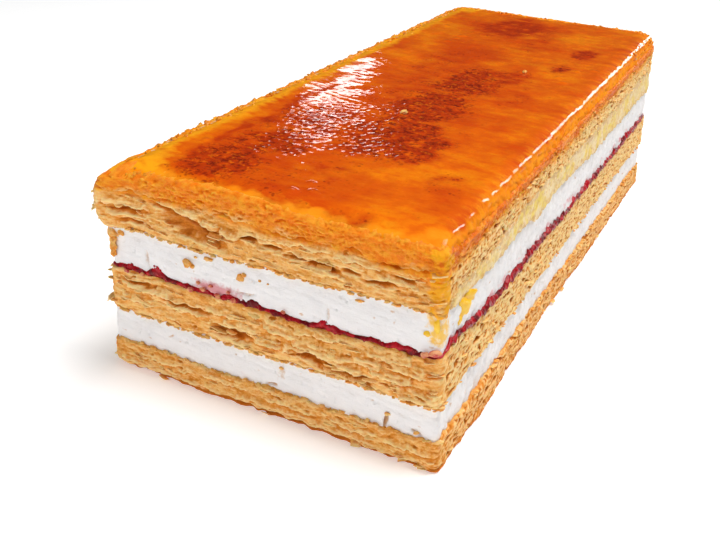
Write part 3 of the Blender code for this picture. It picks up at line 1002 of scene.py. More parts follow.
def cream_upper():
    """Upper whipped cream, with jam smeared into its foot."""
    cracks = [(-46.5, 45.6, 0.9, 3.2, 1.5, -1.5), (24, 45, 0.7, 2.4, 0.7, 1.0),
              (-7, 43.6, 5, 0.7, 1.0, 0.15)]

    def relief(z, share):
        return cream_relief(z, share, 221, cracks)

    def marks_and_crack_shade(z):
        # Painted shade in the cracks.
        crack_shade = np.clip(caves(z, cracks) / (1.2 * MM), 0, 0.5)
        corner = ease(-RIM_X, 57.5 * MM, 60.5 * MM) * FRONTNESS * ease(z, 43 * MM, 50 * MM)
        return np.clip(crack_shade + 0.7 * crumb_marks(z, 231, 0.66) + 0.9 * corner, 0, 1)

    def pink(z):
        smear = bump(RIM_X, -18 * MM, 16 * MM) * FRONTNESS * bump(z, 41.8 * MM, 4 * MM)
        side = SIDENESS * bump(z, 42 * MM, 3.2 * MM)
        side = side * (0.2 + 1.1 * np.clip(side_layered(z, (9, 9, 4), 237, 3), 0, 1))
        return np.clip(1.3 * smear + side, 0, 1)

    back = 0.9 * MM - 0.3 * MM * (1 - SIDENESS)
    numbers = {"marks_and_crack_shade": marks_and_crack_shade, "pink": pink, "yolk": corner_yolk}
    swell = (1.1 * MM * np.clip(ripple(5, 39), 0, 1), 0)
    soft_layer("upper_cream", "cream_upper", jam_top, cream_upper_top, 26, back, relief,
               cream_material("upper whipped cream"), numbers, swell)


# Where the jam climbs and sinks at the front end: x, half width and height, in mm.
JAM_PEAKS = [(-43, 5, 3.2), (22, 5, 2.0), (-56, 9, 1.4), (41, 4, 1.2), (-4, 3.5, 1.6),
             (-28, 12, -0.7), (13, 7, -0.7), (33, 6, -0.5)]


def jam():
    """Jam: a thin ragged band that climbs and sinks into the cream and pastry."""
    def relief(z, share):
        lumps = side_layered(z, (2.6, 2.6, 1.8), 241, 3)
        return 0.55 * MM * lumps + 0.6 * MM * np.sin(share * math.pi) + 0.1 * MM

    peaks = 0
    for x, half_width, high in JAM_PEAKS:
        peaks = peaks + high * MM * bump(RIM_X, x * MM, half_width * MM)
    peaks = peaks * FRONTNESS + 0.8 * MM * np.clip(ripple(4, 35), 0, 1)
    up = peaks + 0.5 * MM * ripple(3, 34) + 0.3 * MM * ripple(1.3, 49)
    up = np.maximum(up + SIDENESS * MM * (1.3 * ripple(6, 36) + 1.1 * ripple(2.2, 44)), -0.1 * MM)
    down = 0.9 * MM * ripple(3.5, 37) * FRONTNESS + 0.5 * MM * ripple(1.3, 50)
    down = down + SIDENESS * MM * (1.2 * ripple(5, 38) + 1.0 * ripple(2.0, 45))
    down = np.maximum(down, -0.1 * MM)
    back = 1.15 * MM - 0.55 * MM * SIDENESS
    soft_layer("jam_line", "jam", pastry_middle_top, jam_top, 14, back, relief, jam_material(), {},
               (down, up))


def custard():
    """Custard: a ridged band that sinks into the bar at the front end."""
    def relief(z, share):
        ridges = rough(RIM_X, RIM_Y - 0.6 * z, z, (5 * MM, 3 * MM, 4 * MM), 251)
        pits = blisters(z, 252, 0.4 * MM, 1.0)
        return 0.5 * MM * ridges - pits + 0.2 * MM - 4.6 * MM * FRONTNESS

    hang = 3.6 * MM * bump(RIM_Y, -57 * MM, 14 * MM) * RIGHTNESS
    ragged = np.clip(0.9 * ripple(5, 43) + 0.6 * ripple(2, 48), 0, 2)
    swell = (hang + RIGHTNESS * MM * ragged, 0)
    soft_layer("custard_band", "custard", cream_upper_top, custard_top, 20, 0.3 * MM, relief,
               custard_material(), {}, swell)


# ---------------------------------------------------------------- glaze

# Burnt patches: x, y, half width, half length, strength, and how pocked they are.
BURNS = [
    (-27, -128, 15, 25, 0.85, 0.9),
    (-21, -104, 13, 14, 0.95, 1.0),
    (-22, -76, 19, 28, 0.75, 0.7),
    (12, -80, 22, 26, 1.05, 1.0),
    (22, -88, 12, 15, 0.95, 1.0),
    (8, -42, 18, 32, 0.88, 1.0),
    (8, 4, 15, 30, 0.85, 0.9),
    (0, -20, 26, 90, 0.40, 0.3),
    (4, -124, 20, 22, 0.34, 0.4),
    (-24, -120, 18, 48, 0.40, 0.3),
    (22, 19, 11, 12, 0.70, 0.3),
    (-12, 22, 12, 46, 0.36, 0.1),
    (38, 49, 6, 9, 0.70, 0.9),
    (41, 80, 6, 9, 0.78, 0.4),
    (-10, 113, 18, 27, 0.85, 0.0),
    (1, 120, 9, 16, 0.95, 0.0),
    (11, 92, 10, 32, 0.36, 0.0),
    (-39, -75, 4, 76, 0.58, 0.1),
    (35, -8, 7, 15, 0.36, 0.5),
    (45, -112, 8, 9, 0.30, 0.6),
    (29, -147, 9, 5, 0.40, 0.4),
    (-5, -145, 14, 6, 0.40, 0.5),
]
# Raised blisters in the glaze: x, y, height and radius.
BLISTERS = [
    (-28, 66, 0.45, 3.0), (-27, 74, 0.40, 2.4), (-26, 81, 0.50, 3.2), (-42, 98, 0.40, 2.6),
    (45, 27, 0.50, 3.0), (41, 34, 0.45, 2.4), (52, 54, 0.45, 2.6), (46, 48, 0.40, 2.2),
    (38, 72, 0.45, 2.6), (43, 80, 0.40, 2.4), (47, 63, 0.35, 2.2), (25, 27, 0.40, 2.4),
    (2, -53, 0.45, 2.4), (24, 33, 0.45, 2.6), (33, 38, 0.35, 2.2), (-44, -118, 0.35, 2.2),
    (5, -141, 0.45, 3.4), (12, -138, 0.45, 3.0), (-2, -143, 0.35, 2.6), (8, -132, 0.35, 2.4),
]
# Paler and darker patches of the amber: x, y, half width, half length and how much paler.
PALE_PATCHES = [(-34, 50, 15, 36, 0.4), (30, 115, 24, 36, 0.35), (-2, 57, 18, 32, -0.35),
                (6, -118, 15, 20, 0.2), (-38, -100, 11, 60, -0.25)]
GLAZE_COLUMNS = 204
GLAZE_ROWS = 412
LIP_RINGS = 14


def glaze_grid():
    """Places of a grid laid as rings: turns round the outline and how many rings inwards."""
    i, j = np.meshgrid(np.arange(GLAZE_COLUMNS + 1), np.arange(GLAZE_ROWS + 1))
    ring = np.minimum(np.minimum(i, GLAZE_COLUMNS - i), np.minimum(j, GLAZE_ROWS - j))
    front, back = j == ring, j == GLAZE_ROWS - ring
    left = (i == ring) & ~front & ~back
    across = np.maximum(GLAZE_COLUMNS - 2 * ring, 1)
    away = np.maximum(GLAZE_ROWS - 2 * ring, 1)
    run = np.where(front | back, (i - ring) / across, (j - ring) / away)
    side = np.where(front, 0, np.where(back, 2, np.where(left, 3, 1)))
    run = np.where((side == 2) | (side == 3), 1 - run, run)
    return ring, side, run


def glaze_outset(ring, side):
    """Outset of a ring: the lip hugs the rim, the shoulder turns in, then even steps inwards."""
    shoulder = np.where(side == 1, 3.6 * MM, 2.4 * MM)
    t = np.clip((ring - 2) / (LIP_RINGS - 2), 0, 1)
    lip = -shoulder * (1 - np.cos(t ** 1.2 * math.pi / 2)) ** 1.5
    inwards = np.clip((ring - LIP_RINGS) / (GLAZE_COLUMNS / 2 - LIP_RINGS), 0, 1)
    outset = lip - (WIDTH / 2 - shoulder) * inwards
    outset = np.where(ring == 1, -2.5 * MM, outset)
    return np.where(ring == 0, INNER, outset), t


def falling(gap, reach):
    """1 at an edge, rounding off to 0 at the reach."""
    return 1 - np.sin(np.clip(gap / reach, 0, 1) * math.pi / 2)


def droop(x, y):
    """How far the top sinks towards its front and left edges."""
    stations = np.array([-62, -54, -42, -28, -8, 2, 12, 24, 45, 60])
    sinks = np.array([5.4, 4.9, 3.3, 2.3, 1.4, 2.3, 3.9, 3.5, 3.3, 3.8])
    corner = 1 - ease(y, -LENGTH / 2, -LENGTH / 2 + 45 * MM)
    away = ease(y, -LENGTH / 2, -LENGTH / 2 + 20 * MM)
    front_fall = np.interp(x / MM, stations, sinks) * MM * falling(y + LENGTH / 2, 11 * MM)
    left_fall = (4.3 + 1.8 * corner) * MM * falling(x + WIDTH / 2, 13 * MM)
    right_fall = 2.6 * MM * away * falling(WIDTH / 2 - x, 8 * MM)
    return np.maximum(front_fall, left_fall) + 0.1 * np.minimum(front_fall, left_fall) + right_fall


def top_height(x, y):
    """Height of the glaze's upper surface."""
    return GLAZE_TOP + TOP_RISE * y / (LENGTH / 2) - droop(x, y)


def glaze_turns(side, run, outset):
    """Where round the outline the grid's points stand, with the corners shared by the sides."""
    length = np.where(side % 2 == 0, WIDTH, LENGTH) + 2 * outset
    corner = np.clip(radius_at(outset) * math.pi / 4 / np.maximum(length, 1 * MM), 0, 0.5)
    start = np.clip(run / corner, 0, 1)
    end = np.clip((run - 1 + corner) / corner, 0, 1)
    middle = np.clip((run - corner) / np.maximum(1 - 2 * corner, 1e-6), 0, 1)
    return (side - 0.05 + 0.05 * start + 0.9 * middle + 0.05 * end) % 4


def glaze_heights(turns, ring, t, x, y):
    """Heights of the grid's points: the bed inside, then up the dripping lip to the top."""
    drips = 1.1 * MM * ripple(6, 91) + 0.6 * MM * ripple(2.2, 92)
    low = along_rim(turns, glaze_bed(0.1 * MM) + drips)
    rise = np.sin(t * math.pi / 2) ** 0.9
    heights = low + (top_height(x, y) - low) * rise
    heights = np.where(ring == 0, along_rim(turns, glaze_bed(INNER)), heights)
    return np.where(ring == 1, along_rim(turns, glaze_bed(-2.5 * MM)), heights)


def glaze_lift(x, y, side, from_edge, left, pock, spikes, waves):
    """Relief of the top: wrinkles, pits, spikes near its edges, blisters and broken dashes."""
    crinkle, fine, broad = waves
    rippled = bump(x, -22 * MM, 34 * MM) * ease(30 * MM - y, 0, 12 * MM)
    rippled = rippled * (1 + 1.3 * bump(x, -38 * MM, 14 * MM) * bump(y, 2 * MM, 34 * MM))
    lift = (0.2 + 0.9 * rippled) * (1 - 0.6 * ease(x, -6 * MM, 4 * MM))
    lift = lift * MM * (0.055 * crinkle + 0.022 * fine)
    lift = lift + 0.02 * MM * pock * fine + 0.2 * MM * broad
    lift = lift - 0.13 * MM * pock * ease(dots(x, y, 2.7 * MM, 5), 0.42, 0.15)
    lift = lift + 0.8 * MM * spikes * (0.2 * bump(from_edge, 2, 4) + 0.8 * left * bump(from_edge, 4, 8))
    for at_x, at_y, high, wide in BLISTERS:
        away = np.hypot(x / MM - at_x + 1.2 * fine, y / MM - at_y + 1.5 * crinkle) / wide
        lift = lift + high * MM * (1 - ease(away, 0, 1))
    dashes = 0.42 * top_rough(x, y, (14, 9), 323) + 0.16 * top_rough(x, y, (9, 4), 324)
    return lift + dashes * MM * bump(from_edge, 4, 7) * (side == 1)


def lip_seam(x, y, heights):
    """Flaky relief that the lip takes from the pastry it soaks into."""
    seam = 0.5 * MM * rough(x, y, heights, (6 * MM, 6 * MM, 1.1 * MM), 305)
    seam = seam + 0.35 * MM * layered(x, y, heights, (2.2 * MM, 2.2 * MM, 1.0 * MM), 306, 2)
    for number, size in enumerate((3.0, 1.5)):
        wall = rough(x, y, heights, (size * MM, size * MM, 0.5 * size * MM), 308 + number)
        seam = seam - 0.28 * size / 2 * MM * (ease(np.abs(wall), 0.05, 0.6) - 0.5)
    return seam


def matte_part(x, y):
    """Where the top is dry crust: along its front and left edges and at the front right corner."""
    uneven = 2.2 * top_layered(x, y, (7, 7), 321, 2)
    front_edge = 1 - ease((y + LENGTH / 2) / MM + uneven, 2, 6)
    left_edge = 1 - ease((x + WIDTH / 2) / MM + uneven, 5, 10)
    corner = bump(x, 57 * MM, 9 * MM) * bump(y, -145 * MM, 10 * MM)
    return np.maximum(np.maximum(front_edge, left_edge), corner)


def paleness(x, y):
    """How pale the amber is over the top."""
    pale = 0.35 * top_layered(x, y, (30, 40), 307, 2) + 0.22 * ease(y, 0, 110 * MM)
    pale = pale + 0.36 * bump(x, 46 * MM, 27 * MM) * (1 - 0.6 * ease(y, 30 * MM, 70 * MM))
    for at_x, at_y, half_x, half_y, gain in PALE_PATCHES:
        pale = pale + gain * bump(x, at_x * MM, half_x * MM) * bump(y, at_y * MM, half_y * MM)
    return pale


def glaze():
    """The yolk glaze: lip, rounded shoulder and top in rings that close on the middle line."""
    ring, side, run = glaze_grid()
    outset, t = glaze_outset(ring, side)
    turns = glaze_turns(side, run, outset)
    x, y = plan(turns, outset)
    heights = glaze_heights(turns, ring, t, x, y)
    flared = along_rim(turns, flare(GLAZE_TOP))
    outset = outset + flared * (1 - ease(-outset, 0, 12 * MM)) * (ring > 1)
    from_edge = np.minimum(WIDTH / 2 - np.abs(x), LENGTH / 2 - np.abs(y)) / MM
    on_top = ease(t, 0.55, 1)
    left = ease(-x / MM, 38, 47)
    burn_and_shade, pock = burnt(x, y)
    burn_and_shade, pock = burn_and_shade * on_top, pock * on_top
    crinkle = rough(x, y + 0.25 * x, 0, (7 * MM, 2.4 * MM, 1), 301)
    fine = top_rough(x, y, (2.6, 1.4), 302)
    broad = top_layered(x, y, (26, 26), 303, 2)
    spikes = ease(top_rough(x, y, (2.6, 2.6), 304), 0.25, 0.7)
    lift = glaze_lift(x, y, side, from_edge, left, pock, spikes, (crinkle, fine, broad))
    heights = heights + lift * ease(t, 0.2, 1)
    seam = lip_seam(x, y, heights)
    outset = outset + (seam - 0.8 * MM) * (1 - ease(t, 0.45, 0.9)) * (ring > 1)
    # Painted shade in the creases of the lip, added to the burnt colour.
    shade_and_spots = np.clip(-seam / (0.5 * MM), 0, 1) * (1 - on_top)
    golden = left * (1.4 + 0.9 * broad + 0.5 * crinkle) * (1 - ease(from_edge + 4 * broad, 8, 18))
    burn_and_shade = burn_and_shade * (1 - 0.7 * left * (1 - ease(from_edge + 4 * broad, 8, 15)))
    burn_and_shade = np.maximum(burn_and_shade, 0.6 * spikes * left * bump(from_edge, 6, 9))
    numbers = {
        "burn_and_shade": np.clip(burn_and_shade + 0.5 * shade_and_spots, 0, 1),
        "pock": pock,
        "rim": np.clip(1 - from_edge / 8, 0, 1) * 0.55 + golden,
        "crust": np.maximum(1 - on_top, matte_part(x, y)),
        "pale": paleness(x, y),
    }
    piece = shell_of("yolk_glaze", place(turns, outset, heights), numbers)
    dress_layer(piece, "glaze", glaze_material(), 60)


def soaked_rim():
    """Crumbly edge of the top, full of glaze: from the lip up over the crest."""
    ragged = 1.2 * MM * ripple(6, 91) + 0.8 * MM * ripple(2.2, 92)
    low = glaze_bed(0) + ragged - 0.5 * MM
    edge_x, edge_y = plan(TURNS, -0.6 * MM)
    lowered = RIGHTNESS * (1 - FRONTNESS)
    crest = top_height(edge_x, edge_y) - 3.4 * MM * lowered
    share = np.linspace(0, 1, 25)[:, None]
    z = low + (crest - low) * share
    out = folds(z, 341, 5 * MM, 1.9 * MM, 0.55 * MM) - blisters(z, 351, 0.35 * MM, 0.8) + 0.25 * MM
    out = out + flare(z)
    # Painted shade where the relief sinks, painted highlight where it stands out.
    near = blurred(out, 2)
    shade_and_spots = np.clip((near - out) / (0.35 * MM), 0, 0.6) + np.clip((blurred(out, 6) - out) / MM, 0, 0.6)
    spots = side_layered(z, (6, 6, 2.5), 121, 3)
    # Darker along the right side, with darker spots.
    shade_and_spots = shade_and_spots + 0.6 * RIGHTNESS * (1 + 1.2 * spots)
    tip_highlight = np.clip((out - near) / (0.3 * MM), 0, 1)
    soak = 0.65 + 0.7 * ease(share, 0.05, 0.6) + 0.5 * ripple(7, 120) * (1 - share)
    out = out - 0.9 * MM * ease(share, 0.75, 1) ** 2 - 0.5 * MM * (1 - ease(share, 0, 0.08))
    wander = 1 + 0.5 * ripple(5, 93) + 0.4 * ripple(1.8, 94)
    wander = wander * (1 + 1.2 * LEFTNESS) * (1 - 0.8 * lowered)
    outs = [INNER, SHELF, out]
    heights = [glaze_bed(INNER), glaze_bed(SHELF), z]
    # Over the crest, the painted shade and highlight vary at random.
    hollows, tip_highlights = [], []
    for number, step in enumerate((0.8, 1.6, 2.4, 3.2)):
        inset = -step * MM * wander - 0.6 * MM
        at_x, at_y = plan(TURNS, inset)
        bumps = (0.35 - 0.2 * FRONTNESS) * ripple(2.6 - 0.2 * number, 95 + number)
        bumps = bumps + 0.7 * LEFTNESS * np.clip(ripple(1.9, 99 + number), 0, 1)
        above = top_height(at_x, at_y) + (bumps + 0.2 - 0.12 * number - 3.4 * lowered) * MM
        outs.append(out[-1] + inset + 0.6 * MM)
        heights.append(above)
        hollows.append(0.2 + 0.2 * ripple(1.5, 105 + number))
        tip_highlights.append(0.3 + 0.4 * ripple(1.7, 110 + number))
    outs += [outs[-1] - 0.6 * MM, INNER]
    heights += [heights[-1] - 1.4 * MM, glaze_bed(INNER) + 1 * MM]
    over_top = len(hollows) + 2
    numbers = {
        "shade_and_spots": stack(0, 0, shade_and_spots, *hollows, 0, 0),
        "tip_highlight": stack(0, 0, tip_highlight, *tip_highlights, 0, 0),
        "soak": stack(0, 0, soak, *[1.2] * over_top),
        "yolk": stack(0, 0, corner_yolk(z), *[0.5 * LEFTNESS] * over_top),
    }
    piece = wrap("soaked_rim", place(TURNS, stack(*outs), stack(*heights)), numbers)
    dress(piece, "glaze", crust_material(), 80)


def burnt(x, y):
    """How burnt and how pocked the top is, from its list of patches."""
    burn_and_shade = np.zeros_like(x)
    pock = np.zeros_like(x)
    bend_x = x + 5 * MM * top_layered(x, y, (16, 16), 311, 3)
    bend_y = y + 6 * MM * top_layered(x, y, (16, 16), 315, 3)
    for centre_x, centre_y, half_x, half_y, strength, pocked in BURNS:
        away = np.hypot((bend_x / MM - centre_x) / half_x, (bend_y / MM - centre_y) / half_y)
        here = strength * (1 - ease(away, 0.35, 1.3))
        burn_and_shade = np.maximum(burn_and_shade, here)
        pock = np.maximum(pock, here * pocked)
    band = bump(x, 9 * MM, 18 * MM)
    burn_and_shade = burn_and_shade * (1 - 0.75 * band * ease(y + 0.15 * x, 28 * MM, 31 * MM) * (y < 60 * MM))
    cloudy = top_layered(x, y, (9, 6), 319, 3)
    burn_and_shade = np.clip(burn_and_shade * (1 + 0.7 * cloudy) + 0.10 * cloudy, 0, 1)
    return burn_and_shade, np.clip(pock * 1.5, 0, 1)


def glaze_material():
    """Burnt yolk: amber with golden rims, mahogany where it is burnt, all under a clear gloss."""
    made, tree, shader = nodes_of("burnt yolk glaze")
    broad = grain(tree, 45, 4, 0.6, (0.6, 1.0, 1))
    middle = grain(tree, 190, 4, 0.65, (0.7, 1.3, 1))
    fine = grain(tree, 750, 3, 0.65)
    dot = pocks(tree, 380)
    pock = stored(tree, "pock")
    pale = painted(tree, "pale", broad, 0.5)
    pale = math_node(tree, "ADD", pale, spread(tree, middle, 0.3, 0.7, -0.38, 0.38))
    amber = blend(tree, spread(tree, pale, -0.35, 0.45), DARK_AMBER, AMBER)
    amber = blend(tree, spread(tree, pale, 0.3, 0.8, 0, 0.8), amber, PALE_AMBER)
    rim = painted(tree, "rim", middle, 0.3)
    amber = blend(tree, spread(tree, rim, 0.2, 0.9), amber, GOLDEN)
    burn_and_shade = painted(tree, "burn_and_shade", middle, 0.13)
    burn_and_shade = math_node(tree, "ADD", burn_and_shade, spread(tree, fine, 0.3, 0.7, -0.07, 0.07))
    body = blend(tree, spread(tree, burn_and_shade, 0.0, 0.65), amber, BURNT)
    body = blend(tree, spread(tree, burn_and_shade, 0.55, 1.1, 0, 0.9), body, MAHOGANY)
    clots = spread(tree, grain(tree, 350, 4, 0.75), 0.52, 0.62)
    clots = math_node(tree, "MAXIMUM", clots, math_node(tree, "MULTIPLY", dot, 0.7))
    specks = math_node(tree, "MULTIPLY", clots, pock)
    body = blend(tree, spread(tree, specks, 0.1, 0.7, 0, 0.9), body, CLOT)
    glints = math_node(tree, "MULTIPLY", spread(tree, grain(tree, 480, 3), 0.56, 0.66), pock)
    body = blend(tree, math_node(tree, "MULTIPLY", glints, 0.55), body, GLINT)
    small = math_node(tree, "MULTIPLY", pocks(tree, 560), spread(tree, burn_and_shade, -0.05, 0.4, 0.22, 1))
    small = math_node(tree, "MULTIPLY", small, spread(tree, grain(tree, 170, 2), 0.43, 0.6))
    body = blend(tree, spread(tree, small, 0.2, 0.8, 0, 0.75), body, BURNT_SPECK)
    crumb = stored(tree, "crust")
    side = blend(tree, spread(tree, middle, 0.35, 0.65), LIP, LIP_LIGHT)
    # On the lip and the matte edges: burnt colour, and painted shade in the lip's creases.
    side = blend(tree, spread(tree, burn_and_shade, 0.1, 0.7, 0, 0.8), side, LIP_BURN_AND_SHADE)
    body = blend(tree, spread(tree, crumb, 0.4, 1.0), body, side)
    feed(tree, body, shader.inputs["Base Color"])
    wet = math_node(tree, "ADD", spread(tree, fine, 0.3, 0.7, 0.5, 0.7), spread(tree, crumb, 0.3, 1, 0, 0.1))
    feed(tree, wet, shader.inputs["Roughness"])
    worn = spread(tree, grain(tree, 240, 3, 0.6, (1.0, 0.5, 1)), 0.40, 0.52, 0.7, 1)
    gloss = math_node(tree, "MULTIPLY", spread(tree, crumb, 0.3, 0.95, 0.9, 0.0), worn)
    feed(tree, gloss, shader.inputs["Coat Weight"])
    shader.inputs["Coat Roughness"].default_value = 0.04
    shader.inputs["Specular IOR Level"].default_value = 0.05
    height = math_node(tree, "MULTIPLY", fine, spread(tree, pock, 0, 1, 0.3, 0.9))
    height = math_node(tree, "SUBTRACT", height, math_node(tree, "MULTIPLY", specks, 0.8))
    height = math_node(tree, "ADD", height, math_node(tree, "MULTIPLY", middle, 0.5))
    roughen(tree, shader, height, 0.45, 0.35 * MM)
    return made


def pocks(tree, density):
    """Scattered round dots, 1 at their centres; density is how many fit in a metre."""
    place_node = add(tree, "ShaderNodeTexCoord")
    warp = add(tree, "ShaderNodeTexNoise")
    warp.inputs["Scale"].default_value = density
    push = add(tree, "ShaderNodeVectorMath", operation="SCALE")
    push.inputs["Scale"].default_value = 0.8 / density
    total = add(tree, "ShaderNodeVectorMath", operation="ADD")
    cells = add(tree, "ShaderNodeTexVoronoi")
    cells.inputs["Scale"].default_value = density
    tree.links.new(place_node.outputs["Object"], warp.inputs["Vector"])
    tree.links.new(warp.outputs["Color"], push.inputs[0])
    tree.links.new(place_node.outputs["Object"], total.inputs[0])
    tree.links.new(push.outputs["Vector"], total.inputs[1])
    tree.links.new(total.outputs["Vector"], cells.inputs["Vector"])
    return spread(tree, cells.outputs["Distance"], 0.5, 0.12)


# ---------------------------------------------------------------- flakes and crumbs

UPWARD = np.array([0, 0, 1])


def draws(count, number, key, seed):
    """Repeatable random numbers, 0 to 1, for one thing out of a scatter."""
    numbers = np.arange(number)
    return 0.5 + 0.5 * chance(0 * numbers + count, 5 * numbers, 0 * numbers + key, seed)


def measured(shape):
    """The corners and faces of a new shape, which is then taken away."""
    corners = np.empty(len(shape.data.vertices) * 3)
    shape.data.vertices.foreach_get("co", corners)
    faces = [list(face.vertices) for face in shape.data.polygons]
    bpy.data.objects.remove(shape)
    return corners.reshape(-1, 3), faces


def standing(turn, outset, z):
    """A place on the side, and the directions along the side and outwards from there."""
    turn, z = np.array([turn]), np.array([z])
    centre = place(turn, np.array([outset]), z)[0]
    outer = place(turn, np.array([outset + 1 * MM]), z)[0] - centre
    outer = outer / np.linalg.norm(outer)
    return centre, np.array([-outer[1], outer[0], 0]), outer


def group_of(name, node, made, corners, shapes, numbers):
    """One mesh of many small things, with its finish, riding on the bar."""
    mesh = bpy.data.meshes.new(name)
    mesh.from_pydata(np.concatenate(corners).tolist(), [], shapes)
    for attribute, values in numbers.items():
        mesh.attributes.new(attribute, "FLOAT", "POINT").data.foreach_set("value", values)
    piece = bpy.data.objects.new(name, mesh)
    bpy.context.collection.objects.link(piece)
    dress(piece, node, made, 50)


def flake_group(name, node, made, spots):
    """Loose thin sheets of pastry, each a bent plate rooted in the crust; one mesh for a group."""
    deselect()
    bpy.ops.mesh.primitive_grid_add(x_subdivisions=9, y_subdivisions=2, size=1)
    plate = bpy.context.object
    plate.modifiers.new("thickness", "SOLIDIFY").thickness = 0.12
    bpy.ops.object.modifier_apply(modifier="thickness")
    base, faces = measured(plate)
    corners, shapes, tip_highlights = [], [], []
    for turn, z, length, reach, tilt, slope, curl, thickness, seed in spots:
        along = base[:, 0] * length
        away = base[:, 1] + 0.5
        jag = rough(along, seed * MM * 7, 0, (length * 0.22, 1, 1), 401)
        taper = 1 - (2 * np.abs(base[:, 0])) ** 3 * 0.7
        out = (away * reach * (1 + 0.55 * jag) * taper) - 1.2 * MM * (1 - away)
        up = base[:, 2] / 0.12 * thickness + tilt * out + slope * along
        up = up + curl * (out / reach) ** 2 * reach + 0.25 * length * (base[:, 0] ** 2) * curl
        up = up + 0.12 * reach * rough(along, out, 0, (length * 0.3, reach, 1), seed)
        centre, level, outer = standing(turn, 0.0, z)
        out = out + along_rim(turn, flare(z))
        shapes += [[index + len(base) * len(corners) for index in face] for face in faces]
        corners.append(centre + level * along[:, None] + outer * out[:, None] + UPWARD * up[:, None])
        # Painted highlight towards each flake's outer edge, painted shade towards its root.
        tip_highlights.append(np.clip(away * 0.9 - 0.1, 0, 1))
    tip_highlights = np.concatenate(tip_highlights)
    group_of(name, node, made, corners, shapes, {"tip_highlight": tip_highlights, "shade_and_spots": 0.35 * (1 - tip_highlights)})


def scatter_flakes(stretches, low, high, seed):
    """Flake spots: for each stretch of the outline, how many, and how long and deep they are."""
    spots = []
    count = 0
    for start, stop, number, length, reach in stretches:
        for _ in range(number):
            count += 1
            draw = draws(count, 8, 3, seed)
            turn = start + (stop - start) * draw[0]
            bottom = along_rim(turn, low)
            top = along_rim(turn, high)
            z = bottom + (top - bottom) * (0.06 + 0.88 * draw[1])
            spots.append((turn % 4, z, length * MM * (0.4 + 1.0 * draw[2]),
                          reach * MM * (0.4 + draw[3]), 0.9 * (draw[4] - 0.5),
                          0.24 * (draw[5] - 0.5), 0.9 * (draw[6] - 0.5),
                          (0.14 + 0.14 * draw[7]) * MM, count))
    return spots


def flakes():
    """Loose flakes of the three pastry layers, fewest on the cut sides that show."""
    made = bpy.data.materials["baked crust"]
    nothing = 0 * TURNS
    groups = [
        ("flakes_of_the_bottom", "pastry_bottom", nothing, pastry_bottom_top(0),
         [(0.05, 0.95, 24, 4, 0.5), (1, 1.9, 14, 3, 0.5), (2, 2.9, 40, 5, 1.1), (3, 3.9, 60, 4, 1.0)]),
        ("flakes_of_the_middle", "pastry_middle", cream_lower_top(0), pastry_middle_top(0),
         [(0, 0.95, 60, 5, 0.8), (1, 1.9, 30, 3, 0.6), (2, 2.9, 60, 7, 1.6), (3, 3.95, 130, 4, 1.5)]),
        ("flakes_of_the_top", "pastry_top", custard_top(0), glaze_bed(0),
         [(0, 0.95, 40, 4, 0.6), (1, 1.9, 30, 3, 0.6), (2, 2.9, 60, 6, 1.4), (3, 3.95, 120, 4, 1.3)]),
    ]
    for seed, (name, node, low, high, stretches) in enumerate(groups):
        flake_group(name, node, made, scatter_flakes(stretches, low, high, 500 + seed))


def lump_group(name, node, made, lumps, fineness=2):
    """Small rough lumps on the sides; turn, height, outset, size along, up and out, in mm."""
    deselect()
    bpy.ops.mesh.primitive_ico_sphere_add(subdivisions=fineness, radius=1)
    ball = bpy.context.object
    base, faces = measured(ball)
    corners, shapes = [], []
    for turn, z, outset, along, up, out in lumps:
        bulge = 1 + 0.55 * rough(base[:, 0] + turn * 50, base[:, 1] + z, base[:, 2], 0.8, 7)
        shape = base * bulge[:, None]
        centre, level, outer = standing(turn, outset * MM, z * MM)
        shapes += [[index + len(base) * len(corners) for index in face] for face in faces]
        corners.append(centre + level * shape[:, :1] * along * MM + outer * shape[:, 1:2] * out * MM
                       + UPWARD * shape[:, 2:] * up * MM)
    group_of(name, node, made, corners, shapes, {})


def front(x):
    """Place on the outline of a point of the front end, x in mm from the middle."""
    return 0.45 + 0.45 * x / (WIDTH / 2 / MM - CORNER_RADIUS / MM)


def right(y):
    """Place on the outline of a point of the right side, y in mm from the middle."""
    return 1.45 + 0.45 * y / (LENGTH / 2 / MM - CORNER_RADIUS / MM)


